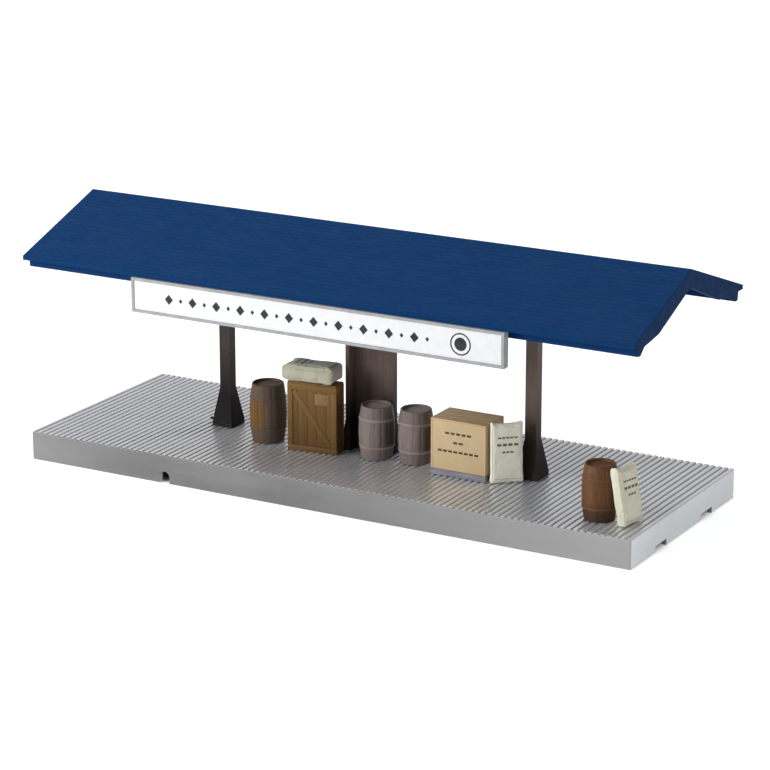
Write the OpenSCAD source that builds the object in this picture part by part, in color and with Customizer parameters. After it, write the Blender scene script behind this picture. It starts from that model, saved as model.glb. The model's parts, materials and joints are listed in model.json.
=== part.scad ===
// Covered freight platform for a 1:48 (O gauge) layout, with its loose freight.
// Origin: centre of the platform's underside. +X runs along the platform,
// -Y is the front, +Z is up. Units are millimetres.

/* [Platform] */
// Length of the platform along X
base_l = 305; // [280:1:330]
// Width of the platform along Y
base_w = 108.5; // [100:0.5:120]
// Height of the deck above the table
base_h = 13.5; // [12:0.5:18]
// Thickness of the side walls of the base
base_wall = 2.2; // [1.6:0.1:3]
// Thickness of the deck below the board grooves
deck_t = 2.2; // [1.6:0.1:2.6]
// Pitch of the deck boards
board_pitch = 3.125; // [2.6:0.005:4]
// Width of the groove between two boards, at its top
groove_w = 1.3; // [0.6:0.05:1.6]
// Depth of the groove between two boards
groove_d = 0.7; // [0.3:0.05:1]
// Width of each notch in the end walls
notch_w = 11.3; // [8:0.1:14]
// Height of each notch in the end walls
notch_h = 3; // [2:0.1:4]
// Distance from the centre line to each notch
notch_y = 24; // [15:0.5:35]
// Width of the wire hole in the front wall
wire_hole_w = 5; // [3:0.1:7]
// Height of the wire hole in the front wall
wire_hole_h = 5.5; // [4:0.1:7]

/* [Posts] */
// Distance from the centre to each post
post_x = 79.2; // [60:0.1:100]
// Width of the post shaft along X
post_w = 5.6; // [5:0.1:8]
// Depth of the post shaft along Y
post_d = 5; // [4:0.1:6]
// Width of the post's foot along X
foot_w = 10.4; // [9:0.1:14]
// Depth of the post's foot along Y
foot_d = 11.4; // [9:0.1:14]
// Height of the foot's straight plinth
plinth_h = 2; // [1:0.1:3]
// Height above the deck where the foot's flare ends
flare_h = 18; // [10:0.5:25]
// Height of the post tops, where the ridge channel rests
post_top = 98; // [96:0.5:99]

/* [Centre pier] */
// Place of the pier's middle along X
pier_x = -2; // [-4:0.1:2]
// Width of the pier along X
pier_w = 21.4; // [18:0.1:22]
// Thickness of the pier's wide wall
pier_t = 3.3; // [3:0.1:4]
// Place of the front of the pier's wide wall along Y
pier_front = 0.5; // [0.3:0.1:1]
// How far the pier's wing wall stands forward of the wide wall
wing_d = 6.3; // [3:0.1:6.3]
// Thickness of the wing wall
wing_t = 1.8; // [1.4:0.1:2.4]
// How far the pier's foot stands out all round
pier_flare = 1.6; // [0.5:0.1:1.7]
// Height above the deck where the pier's flare ends
pier_flare_h = 14; // [8:0.5:18]

/* [Roof] */
// Length of the roof along X
roof_l = 305; // [290:1:320]
// Distance from the ridge to each eave edge
eave_y = 56.4; // [54:0.1:57]
// Height of the ridge
ridge_z = 117.2; // [112:0.1:120]
// Height of the top of the eave edge
eave_z = 97.5; // [97:0.1:99]
// Thickness of the roof skin, measured upright
skin_t = 2.1; // [1.6:0.1:2.2]
// Height of the eave's outer edge
eave_t = 2; // [1:0.1:2.1]
// Depth of the end boards below the ridge, measured upright
barge_h = 8; // [6:0.1:9]
// Distance from the ridge to the knee in the end boards' lower edge
knee_y = 31.5; // [28:0.5:40]
// Height of that knee
knee_z = 96.4; // [95:0.1:98]
// Thickness of the end boards along X
barge_t = 2.6; // [1.5:0.1:4]
// Height of the lower edge of the fascia under each eave
fascia_z = 91.5; // [90:0.1:93]
// Distance from the ridge to the outer face of the fascia
fascia_y = 51.4; // [50:0.1:52]
// Thickness of the fascia
fascia_t = 2.4; // [1.5:0.1:3]

/* [Signs] */
// Length of each sign
sign_l = 186.5; // [120:0.5:220]
// Height of each sign
sign_h = 15.8; // [10:0.1:16]
// Height of each sign's upper edge
sign_top = 95.3; // [94.8:0.1:95.5]
// Distance from the platform's middle to each sign's middle, to its right as read
sign_x = 0.6; // [-5:0.1:5]
// Depth of each sign frame
sign_d = 4; // [2:0.1:4.2]
// Width of the frame's border
sign_rim = 1.3; // [0.8:0.1:2]

/* [Freight] */
// Height of the tall brown barrel
tall_barrel_h = 27.4; // [26:0.5:30]
// Height of the other barrels
barrel_h = 24.7; // [20:0.1:27]
// Length of the brown crate along X
crate_l = 24.2; // [22:0.1:25]
// Depth of the brown crate
crate_d = 9; // [8:0.1:9.2]
// Height of the brown crate
crate_h = 32.3; // [28:0.1:34]
// Length of the tan box along X
box_l = 27.2; // [24:0.1:27.4]
// Depth of the tan box
box_d = 17.4; // [12:0.1:17.4]
// Height of the tan box on its skid
box_h = 26; // [20:0.1:27]
// Height of the skid under the tan box
skid_h = 2.8; // [2:0.1:4]

/* [Hidden] */
$fn = 48;
eps = 0.01;
// Clearance under each loose load, and round each fixed spigot
rest_gap = 0.05;
fit_gap = 0.1;
deck_z = base_h + rest_gap;
under_z = base_h - groove_d - deck_t;
groove_n = floor((base_l - 5) / board_pitch) + 1;
groove_x0 = -(groove_n - 1) * board_pitch / 2;
corner_r = 0.8;
deck_bevel = 0.5;
boss_r = 7;
boss_z = 7.4;
rib_t = 1.6;
rib_z = 5;
long_rib_y = 28;
long_rib_z = 7;
// Post details
bore_r = 1.2;
top_spigot_r = 1.9;
spigot_len = 1.3;
screw_r = 0.75;
head_r = 1.5;
head_h = 0.9;
screw_dx = 3.2;
screw_top = 18;
pier_screw_dx = 7;
pier_y = pier_front + pier_t / 2;
// Roof details
slope = (ridge_z - eave_z) / eave_y;
barge_in = 0.2;
rib_x = 62;
channel_w = 8;
channel_l = 176;
channel_top = 112;
channel_t = 1.4;
lamp_x = 40;
cable_r = 0.8;
cable_z = post_top + channel_t + cable_r + rest_gap;
cable_low = 5.6;
terminal_y = -36;
// Sign details
sign_y = eave_y + 1.2;
board_t = 1.2;
board_in = 0.4;
// Freight places
tall_barrel_at = [-50.2, -11.6];
left_keg_at = [5.5, -9.2];
right_keg_at = [24, -6.2];
end_barrel_at = [129.1, -36];
crate_at = [-23.6, -13.9];
crate_sack_at = [-25.2, -13.8];
crate_yaw = 7;
box_at = [51.6, -9.6];
post_sack_at = [74.6, -14.7];
post_sack_yaw = 42;
barrel_sack_at = [146.8, -37.1];
barrel_sack_yaw = 77;

// Outline of the platform seen from the front, with a groove between each two boards
function groove(i) = let (x = groove_x0 + i * board_pitch, a = groove_w / 2, b = groove_w / 4)
    [[x - a, base_h], [x - b, base_h - groove_d], [x + b, base_h - groove_d], [x + a, base_h]];

module deck_outline() {
    polygon(concat([[base_l / 2, 0], [-base_l / 2, 0], [-base_l / 2, base_h - deck_bevel],
                    [-base_l / 2 + deck_bevel, base_h]],
                   [for (i = [0 : groove_n - 1]) each groove(i)],
                   [[base_l / 2 - deck_bevel, base_h], [base_l / 2, base_h - deck_bevel]]));
}

module rounded_plan(l, w, r) {
    square([l - 2 * r, w], center = true);
    square([l, w - 2 * r], center = true);
    for (sx = [-1, 1], sy = [-1, 1])
        translate([sx * (l / 2 - r), sy * (w / 2 - r)]) circle(r);
}

// A block on the z = 0 plane, centred in X and Y
module block(l, w, h) {
    translate([-l / 2, -w / 2, 0]) cube([l, w, h]);
}

// A four-sided tapered block, exact because it is where two sloped prisms meet
module taper(l0, w0, l1, w1, h) {
    intersection() {
        rotate([90, 0, 0]) linear_extrude(w0 + 2, center = true)
            polygon([[-l0 / 2, 0], [l0 / 2, 0], [l1 / 2, h], [-l1 / 2, h]]);
        rotate([90, 0, 90]) linear_extrude(l0 + 2, center = true)
            polygon([[-w0 / 2, 0], [w0 / 2, 0], [w1 / 2, h], [-w1 / 2, h]]);
    }
}

module at_post_screws() {
    for (sx = [-1, 1], dx = [-1, 1]) translate([sx * post_x + dx * screw_dx, 0, 0]) children();
}

module at_pier_screws() {
    for (dx = [-1, 1]) translate([pier_x + dx * pier_screw_dx, pier_y, 0]) children();
}

module wire_hole() {
    r = wire_hole_w / 2;
    translate([-post_x, -base_w / 2 - eps, 0]) {
        translate([-r, 0, -1]) cube([wire_hole_w, base_wall + 2 * eps, wire_hole_h - r + 1]);
        translate([0, 0, wire_hole_h - r]) rotate([-90, 0, 0]) cylinder(r = r, h = base_wall + 2 * eps);
    }
}

module base_hollow() {
    l = base_l - 2 * base_wall;
    w = base_w - 2 * base_wall;
    difference() {
        translate([0, 0, -eps]) block(l, w, under_z + eps);
        for (x = [-120, -40, 40, 120]) translate([x, 0, rib_z]) block(rib_t, w + 1, under_z);
        for (sy = [-1, 1]) translate([0, sy * long_rib_y, long_rib_z]) block(l + 1, rib_t, under_z);
        for (sx = [-1, 1]) translate([sx * post_x, 0, boss_z]) cylinder(r = boss_r, h = under_z);
        translate([pier_x, pier_y, boss_z]) block(pier_w + 2, pier_t + 4, under_z);
    }
}

module platform_base() {
    color("silver") difference() {
        intersection() {
            rotate([90, 0, 0]) linear_extrude(base_w, center = true) deck_outline();
            linear_extrude(base_h) rounded_plan(base_l, base_w, corner_r);
        }
        base_hollow();
        wire_hole();
        for (sx = [-1, 1], sy = [-1, 1])
            translate([sx * (base_l - base_wall) / 2, sy * notch_y, -eps])
                block(base_wall + 2 * eps, notch_w, notch_h);
        for (sx = [-1, 1]) translate([sx * post_x, 0, 0]) cylinder(r = bore_r, h = base_h + 1);
        at_post_screws() cylinder(r = screw_r + fit_gap, h = base_h + 1);
        at_pier_screws() cylinder(r = screw_r + fit_gap, h = base_h + 1);
    }
}

// A post on a square flared foot, with a wire way down its middle
module post() {
    translate([0, 0, base_h]) difference() {
        union() {
            block(foot_w, foot_d, plinth_h);
            translate([0, 0, plinth_h]) taper(foot_w, foot_d, post_w, post_d, flare_h - plinth_h);
            block(post_w, post_d, post_top - base_h);
            translate([0, 0, post_top - base_h - eps]) cylinder(r = top_spigot_r, h = spigot_len);
        }
        translate([0, 0, -eps]) cylinder(r = bore_r, h = post_top);
        for (dx = [-1, 1]) translate([dx * screw_dx, 0, -eps])
            cylinder(r = screw_r + fit_gap / 2, h = screw_top - base_h + 0.5);
    }
}

module left_post() {
    color("dimgray") translate([-post_x, 0, 0]) {
        post();
        // Short peg that stands out of the foot's left side
        translate([-foot_w / 2 - 4.6, -0.5, base_h + 1]) cube([5, 1, 1]);
    }
}

module right_post() {
    color("dimgray") translate([post_x, 0, 0]) post();
}

// A wall of the pier on its flared foot, l by w in plan
module pier_wall(l, w) {
    foot_l = l + 2 * pier_flare;
    foot_d = w + 2 * pier_flare;
    block(foot_l, foot_d, plinth_h);
    translate([0, 0, plinth_h]) taper(foot_l, foot_d, l, w, pier_flare_h - plinth_h);
    block(l, w, post_top - base_h);
}

// L-shaped in plan: a wide wall, and a wing wall that stands forward at its left edge
module centre_pier() {
    wing_x = pier_x - (pier_w - wing_t) / 2;
    wing_w = wing_d + pier_t;
    color("dimgray") difference() {
        union() {
            translate([pier_x, pier_y, base_h]) pier_wall(pier_w, pier_t);
            translate([wing_x, pier_front + pier_t - wing_w / 2, base_h]) pier_wall(wing_t, wing_w);
        }
        at_pier_screws() translate([0, 0, base_h - eps])
            cylinder(r = screw_r + fit_gap / 2, h = screw_top - base_h + 0.5);
    }
}

// Slotted self-tapping screw, head down, driven up from under the deck
module deck_screw() {
    translate([0, 0, boss_z - head_h]) difference() {
        cylinder(r = head_r, h = head_h);
        translate([0, 0, -eps]) block(3 * head_r, 0.4, head_h / 2);
    }
    translate([0, 0, boss_z - eps]) cylinder(r = screw_r, h = screw_top - boss_z);
}

module post_screws() {
    color("silver") at_post_screws() deck_screw();
}

module pier_screws() {
    color("silver") at_pier_screws() deck_screw();
}

// Trough that joins the post tops, carries the roof and hides the lamp cable
module ridge_channel() {
    color("dimgray") difference() {
        translate([0, 0, post_top]) block(channel_l, channel_w, channel_top - post_top);
        translate([0, 0, post_top + channel_t])
            block(channel_l - 2 * channel_t, channel_w - 2 * channel_t, channel_top);
        for (sx = [-1, 1]) translate([sx * post_x, 0, post_top - 1])
            cylinder(r = top_spigot_r + fit_gap, h = 3);
        for (sx = [-1, 1]) translate([sx * lamp_x, 0, post_top - 1])
            cylinder(r = cable_r + fit_gap, h = 3);
    }
}

socket_r = 3.4;
socket_h = 6.5;

module lamp_sockets() {
    color("ivory") for (sx = [-1, 1]) translate([sx * lamp_x, 0, post_top - socket_h]) difference() {
        union() {
            cylinder(r = socket_r, h = socket_h);
            translate([0, 0, socket_h - 1]) cylinder(r = socket_r + 0.4, h = 1);
        }
        translate([0, 0, -eps]) cylinder(r = 2.5, h = socket_h - 2);
        cylinder(r = cable_r + fit_gap, h = socket_h + 1);
    }
}

module lamp_bulbs() {
    color("lightyellow") for (sx = [-1, 1]) translate([sx * lamp_x, 0, post_top - socket_h - 6]) {
        sphere(r = 2.35);
        cylinder(r = 2.35, h = 6 + socket_h - 2.2);
    }
}

// A straight length of cable from one point to another along one axis
module cable_run(from, to) {
    d = to - from;
    n = norm(d);
    translate(from) sphere(r = cable_r);
    translate(to) sphere(r = cable_r);
    translate(from) rotate([0, acos(d[2] / n), atan2(d[1], d[0])]) cylinder(r = cable_r, h = n);
}

module lamp_cable() {
    far_end = [lamp_x, 0, cable_z];
    post_in = [-post_x, 0, cable_z];
    post_out = [-post_x, 0, cable_low];
    color("darkgreen") {
        for (sx = [-1, 1])
            translate([sx * lamp_x, 0, post_top - 1.8]) cylinder(r = cable_r, h = cable_z - post_top + 1.8);
        cable_run(far_end, post_in);
        cable_run(post_in, post_out);
        cable_run(post_out, [-post_x, terminal_y + 1, cable_low]);
    }
}

terminal_w = 15;
terminal_d = 8;

module terminal_block() {
    color("black") translate([-post_x, terminal_y, 0]) difference() {
        translate([0, 0, 4.2]) block(terminal_w, terminal_d, under_z - 4.2);
        translate([0, 0, cable_low]) rotate([-90, 0, 0]) cylinder(r = cable_r + fit_gap, h = terminal_d);
        for (dx = [-1, 1]) translate([dx * 4.5, 0, 0]) cylinder(r = 0.9, h = under_z - 1);
    }
}

module terminal_screws() {
    color("goldenrod") for (dx = [-1, 1]) translate([-post_x + dx * 4.5, terminal_y, 0]) {
        translate([0, 0, 3.0]) difference() {
            cylinder(r = 1.9, h = 1.15);
            translate([0, 0, -eps]) block(4, 0.5, 0.6);
        }
        translate([0, 0, 4.1]) cylinder(r = 0.8, h = 4);
    }
}

// Outline of the roof's solid end, seen from the end, down to the end board's lower edge
module gable_outline() {
    inner_z = ridge_z - barge_h;
    half = [[eave_y, eave_z], [eave_y, eave_z - eave_t], [fascia_y + 0.6, eave_z - eave_t], [fascia_y, fascia_z],
            [fascia_y - fascia_t, fascia_z], [fascia_y - 6, knee_z - 1.9], [knee_y, knee_z],
            [3, inner_z - 3 * (inner_z - knee_z) / knee_y]];
    polygon(concat([[0, ridge_z]], half, [[0, inner_z - 0.4]],
                   [for (i = [len(half) - 1 : -1 : 0]) [-half[i][0], half[i][1]]]));
}

module skin_outline() {
    polygon([[0, ridge_z], [eave_y, eave_z], [eave_y, eave_z - eave_t], [fascia_y, eave_z - eave_t],
             [0, ridge_z - skin_t], [-fascia_y, eave_z - eave_t], [-eave_y, eave_z - eave_t], [-eave_y, eave_z]]);
}

// Gable rib across the underside, slotted to sit over the ridge channel
module roof_rib() {
    rib_low = 101;
    y = (ridge_z - rib_low - 1) / slope;
    difference() {
        rotate([90, 0, 90]) linear_extrude(rib_t, center = true)
            polygon([[0, ridge_z - 1], [y, rib_low], [-y, rib_low]]);
        translate([0, 0, rib_low - 1])
            block(rib_t + 1, channel_w + 2 * fit_gap, channel_top - rib_low + 1.1);
    }
}

module along_x(l) {
    rotate([90, 0, 90]) linear_extrude(l, center = true) children();
}

module roof_shell() {
    inner_l = roof_l - 2 * barge_in;
    color("midnightblue") {
        along_x(roof_l) skin_outline();
        for (sx = [-1, 1]) translate([sx * (inner_l - barge_t) / 2, 0, 0]) along_x(barge_t) gable_outline();
        for (sy = [-1, 1]) translate([0, sy * (fascia_y - fascia_t / 2), fascia_z])
            block(inner_l, fascia_t, eave_z - fascia_z);
        for (sx = [-1, 1]) translate([sx * rib_x, 0, 0]) roof_rib();
    }
}

// Shallow tray that holds the board, seen from the front; its back lugs reach the fascia
module sign_frame() {
    lug_w = 8;
    translate([sign_x, -sign_y, sign_top - sign_h]) {
        difference() {
            translate([-sign_l / 2, 0, 0]) cube([sign_l, sign_d, sign_h]);
            translate([-sign_l / 2 + sign_rim, -eps, sign_rim])
                cube([sign_l - 2 * sign_rim, board_in + board_t + fit_gap, sign_h - 2 * sign_rim]);
            translate([-sign_l / 2 + 2 * sign_rim, 2.6, 2 * sign_rim])
                cube([sign_l - 4 * sign_rim, sign_d, sign_h - 4 * sign_rim]);
        }
        for (x = [-72, 0, 72]) translate([x - lug_w / 2, sign_d - eps, sign_h - 1.3])
            cube([lug_w, sign_y - fascia_y - sign_d + eps, 1.2]);
    }
}

module sign_board() {
    g = fit_gap / 2;
    translate([sign_x - sign_l / 2 + sign_rim + g, -sign_y + board_in, sign_top - sign_h + sign_rim + g])
        cube([sign_l - 2 * (sign_rim + g), board_t, sign_h - 2 * (sign_rim + g)]);
}

module front_sign_frame() {
    color("lightgray") sign_frame();
}

module front_sign_board() {
    color("white") sign_board();
}

module rear_sign_frame() {
    color("lightgray") rotate([0, 0, 180]) sign_frame();
}

module rear_sign_board() {
    color("white") rotate([0, 0, 180]) sign_board();
}

// A barrel of height h, with its belly radius and end radius, two hoops and sunk heads
module barrel(h, belly, end_r) {
    steps = 16;
    hoop_h = 1.3;
    hoop_out = 0.2;
    head_in = 1.1;
    function side_r(z) = belly - (belly - end_r) * pow(2 * z / h - 1, 2);
    rotate_extrude($fn = 64) polygon(concat(
        [[0, head_in], [end_r - 1, head_in], [end_r - 0.8, 0]],
        [for (i = [0 : steps]) let (z = h * i / steps) [side_r(z), z]],
        [[end_r - 0.8, h], [end_r - 1, h - head_in], [0, h - head_in]]));
    for (f = [0.24, 0.76]) translate([0, 0, f * h - hoop_h / 2]) difference() {
        cylinder(r = side_r(f * h) + hoop_out, h = hoop_h, $fn = 64);
        translate([0, 0, -eps]) cylinder(r = side_r(f * h) - 1, h = hoop_h + 2 * eps, $fn = 64);
    }
}

module tall_barrel() {
    color("peru") translate([tall_barrel_at[0], tall_barrel_at[1], deck_z]) barrel(tall_barrel_h, 8.5, 7.2);
}

module left_keg() {
    color("rosybrown") translate([left_keg_at[0], left_keg_at[1], deck_z]) barrel(barrel_h, 8.2, 6.8);
}

module right_keg() {
    color("rosybrown") translate([right_keg_at[0], right_keg_at[1], deck_z]) barrel(barrel_h, 8.2, 6.8);
}

module end_barrel() {
    color("saddlebrown") translate([end_barrel_at[0], end_barrel_at[1], deck_z]) barrel(barrel_h, 7.8, 6.6);
}

// Recessed panel on one side of a crate face, l wide and h high, facing -Y
module crate_panel(l, h) {
    rim = 2.6;
    sink = 0.8;
    brace_w = 2.2;
    a = atan2(h - 2 * rim, l - 2 * rim);
    difference() {
        translate([-l / 2 + rim, -eps, rim]) cube([l - 2 * rim, sink + eps, h - 2 * rim]);
        translate([0, 0, h / 2]) rotate([0, a, 0])
            translate([-l - h, 0.2, -brace_w / 2]) cube([2 * (l + h), sink, brace_w]);
        translate([l / 2 - rim - 8.6, 0.15, h - rim - 6.4]) cube([7, sink, 5]);
    }
}

module slat_crate() {
    wall = 1.6;
    color("sandybrown") translate([crate_at[0], crate_at[1], deck_z]) rotate([0, 0, crate_yaw]) difference() {
        block(crate_l, crate_d, crate_h);
        translate([0, 0, -eps]) block(crate_l - 2 * wall - 1.6, crate_d - 2 * wall - 1.6, crate_h - wall);
        for (s = [0, 180]) rotate([0, 0, s]) {
            translate([0, -crate_d / 2, 0]) crate_panel(crate_l, crate_h);
            rotate([0, 0, 90]) translate([0, -crate_l / 2, 2.6])
                translate([-crate_d / 2 + 2, -eps, 0]) cube([crate_d - 4, 0.8, crate_h - 5.2]);
        }
    }
}

// A filled sack lying flat: l by w by t, with drawn-in corners
module sack_shape(l, w, t) {
    r = t * 0.28;
    hull() {
        for (sx = [-1, 1], sy = [-1, 1])
            translate([sx * (l / 2 - r), sy * (w / 2 - r), t / 2]) sphere(r = r, $fn = 20);
        for (z = [t * 0.12, t * 0.88]) translate([0, 0, z])
            block(l * 0.74, w * 0.66, 0.01);
        translate([0, 0, t / 2]) block(l * 0.86, w * 0.94, 0.01);
        block(l * 0.6, w * 0.5, t);
    }
}

module crate_sack() {
    color("beige") translate([crate_sack_at[0], crate_sack_at[1], deck_z + crate_h + rest_gap])
        rotate([0, 0, crate_yaw - 1]) sack_shape(25.6, 13.2, 8.8);
}

module tan_box() {
    wall = 1.5;
    color("burlywood") translate([box_at[0], box_at[1], deck_z + skid_h]) difference() {
        block(box_l, box_d, box_h - skid_h);
        translate([0, 0, -eps]) block(box_l - 2 * wall, box_d - 2 * wall, box_h - skid_h - wall);
    }
}

module box_skid() {
    color("gray") translate([box_at[0], box_at[1], deck_z]) {
        translate([0, 0, skid_h - 1.1]) block(box_l, box_d, 1.1);
        for (sy = [-1, 0, 1]) translate([0, sy * (box_d / 2 - 1.25), 0]) block(box_l, 2.5, skid_h - 1);
        translate([0, 0, skid_h - eps]) block(box_l - 3.4, box_d - 3.4, 1);
    }
}

// A sack standing on its end and leaning back, its printed side facing yaw degrees round from the front
module standing_sack(at, yaw, w, h, t, lean) {
    translate([at[0], at[1], deck_z + t / 2 * sin(lean) + rest_gap]) rotate([0, 0, yaw]) rotate([-lean, 0, 0])
        translate([0, t / 2, h / 2]) rotate([0, 90, 90]) translate([0, 0, -t / 2]) sack_shape(h, w, t);
}

module post_sack() {
    color("beige") standing_sack(post_sack_at, post_sack_yaw, 15, 27.6, 4.4, 3);
}

module barrel_sack() {
    color("beige") standing_sack(barrel_sack_at, barrel_sack_yaw, 14, 25.6, 5.8, 11.5);
}

platform_base();
left_post();
right_post();
centre_pier();
post_screws();
pier_screws();
ridge_channel();
lamp_sockets();
lamp_bulbs();
lamp_cable();
terminal_block();
terminal_screws();
roof_shell();
front_sign_frame();
front_sign_board();
rear_sign_frame();
rear_sign_board();
tall_barrel();
left_keg();
right_keg();
end_barrel();
slat_crate();
crate_sack();
tan_box();
box_skid();
post_sack();
barrel_sack();
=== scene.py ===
"""Looks of a covered freight platform for an O gauge (1:48) model railway, built round its CAD frame.

Everything is in metres in the CAD's frame: +X runs along the platform, -Y is its front, +Z is up.
"""

import json
import random
from math import atan2, copysign, cos, hypot, pi, radians, sin, sqrt, tan

import bmesh
import bpy
import numpy as np
from mathutils import Matrix, Vector
from mathutils.bvhtree import BVHTree

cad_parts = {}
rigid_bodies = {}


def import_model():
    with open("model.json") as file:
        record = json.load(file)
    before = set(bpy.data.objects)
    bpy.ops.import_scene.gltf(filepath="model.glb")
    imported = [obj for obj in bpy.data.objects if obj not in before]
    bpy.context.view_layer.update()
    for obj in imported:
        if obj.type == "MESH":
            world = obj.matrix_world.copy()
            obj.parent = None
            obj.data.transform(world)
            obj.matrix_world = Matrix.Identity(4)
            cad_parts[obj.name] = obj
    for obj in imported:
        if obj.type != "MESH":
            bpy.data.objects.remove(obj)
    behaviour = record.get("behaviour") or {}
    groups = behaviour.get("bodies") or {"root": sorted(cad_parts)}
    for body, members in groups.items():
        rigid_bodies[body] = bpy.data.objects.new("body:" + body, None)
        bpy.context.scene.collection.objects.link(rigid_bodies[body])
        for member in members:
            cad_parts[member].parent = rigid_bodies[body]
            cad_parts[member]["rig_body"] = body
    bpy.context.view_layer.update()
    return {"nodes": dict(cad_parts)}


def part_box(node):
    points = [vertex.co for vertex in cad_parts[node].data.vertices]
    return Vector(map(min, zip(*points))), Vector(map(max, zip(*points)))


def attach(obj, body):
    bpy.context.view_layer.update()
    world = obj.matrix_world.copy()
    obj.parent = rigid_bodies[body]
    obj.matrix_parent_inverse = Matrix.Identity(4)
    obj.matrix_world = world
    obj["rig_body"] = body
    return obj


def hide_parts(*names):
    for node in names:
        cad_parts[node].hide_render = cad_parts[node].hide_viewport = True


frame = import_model()
NODES = frame["nodes"]
MM = 0.001
SEED = 48

# Camera and its orbit round the platform
VIEW_AZIMUTH = 29.49
VIEW_ELEVATION = 16.65
VIEW_DISTANCE = 1.352
VIEW_TARGET = Vector((0.0045, 0.0, 0.0446))
LENS = 140.5
SENSOR = 36.0

# Light that the backdrop and the floor give off
AMBIENT = 0.68
AMBIENT_RIGHT = 0.16
FLOOR_GLOW = 0.62
FLOOR_GLOW_UNSEEN = 0.15

# Half the floor's patch that doesn't glow, under the platform, in millimetres
SHADE_X = 148
SHADE_Y = 50

# Thread pitch of the sackcloth, in millimetres
THREAD_PITCH = 0.42

# Shapes that the CAD source also states
CRATE_YAW = radians(7)
BARREL_END_SHARE = 0.85
HOOP_PLACES = (0.24, 0.76)


# ---------------------------------------------------------------- materials

def linear_colour(colour):
    """A display colour, 0 to 255 a channel, as the linear colour that nodes take."""
    shares = [v / 255 for v in colour]
    return (*[v / 12.92 if v <= 0.04045 else ((v + 0.055) / 1.055) ** 2.4 for v in shares], 1.0)


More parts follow.
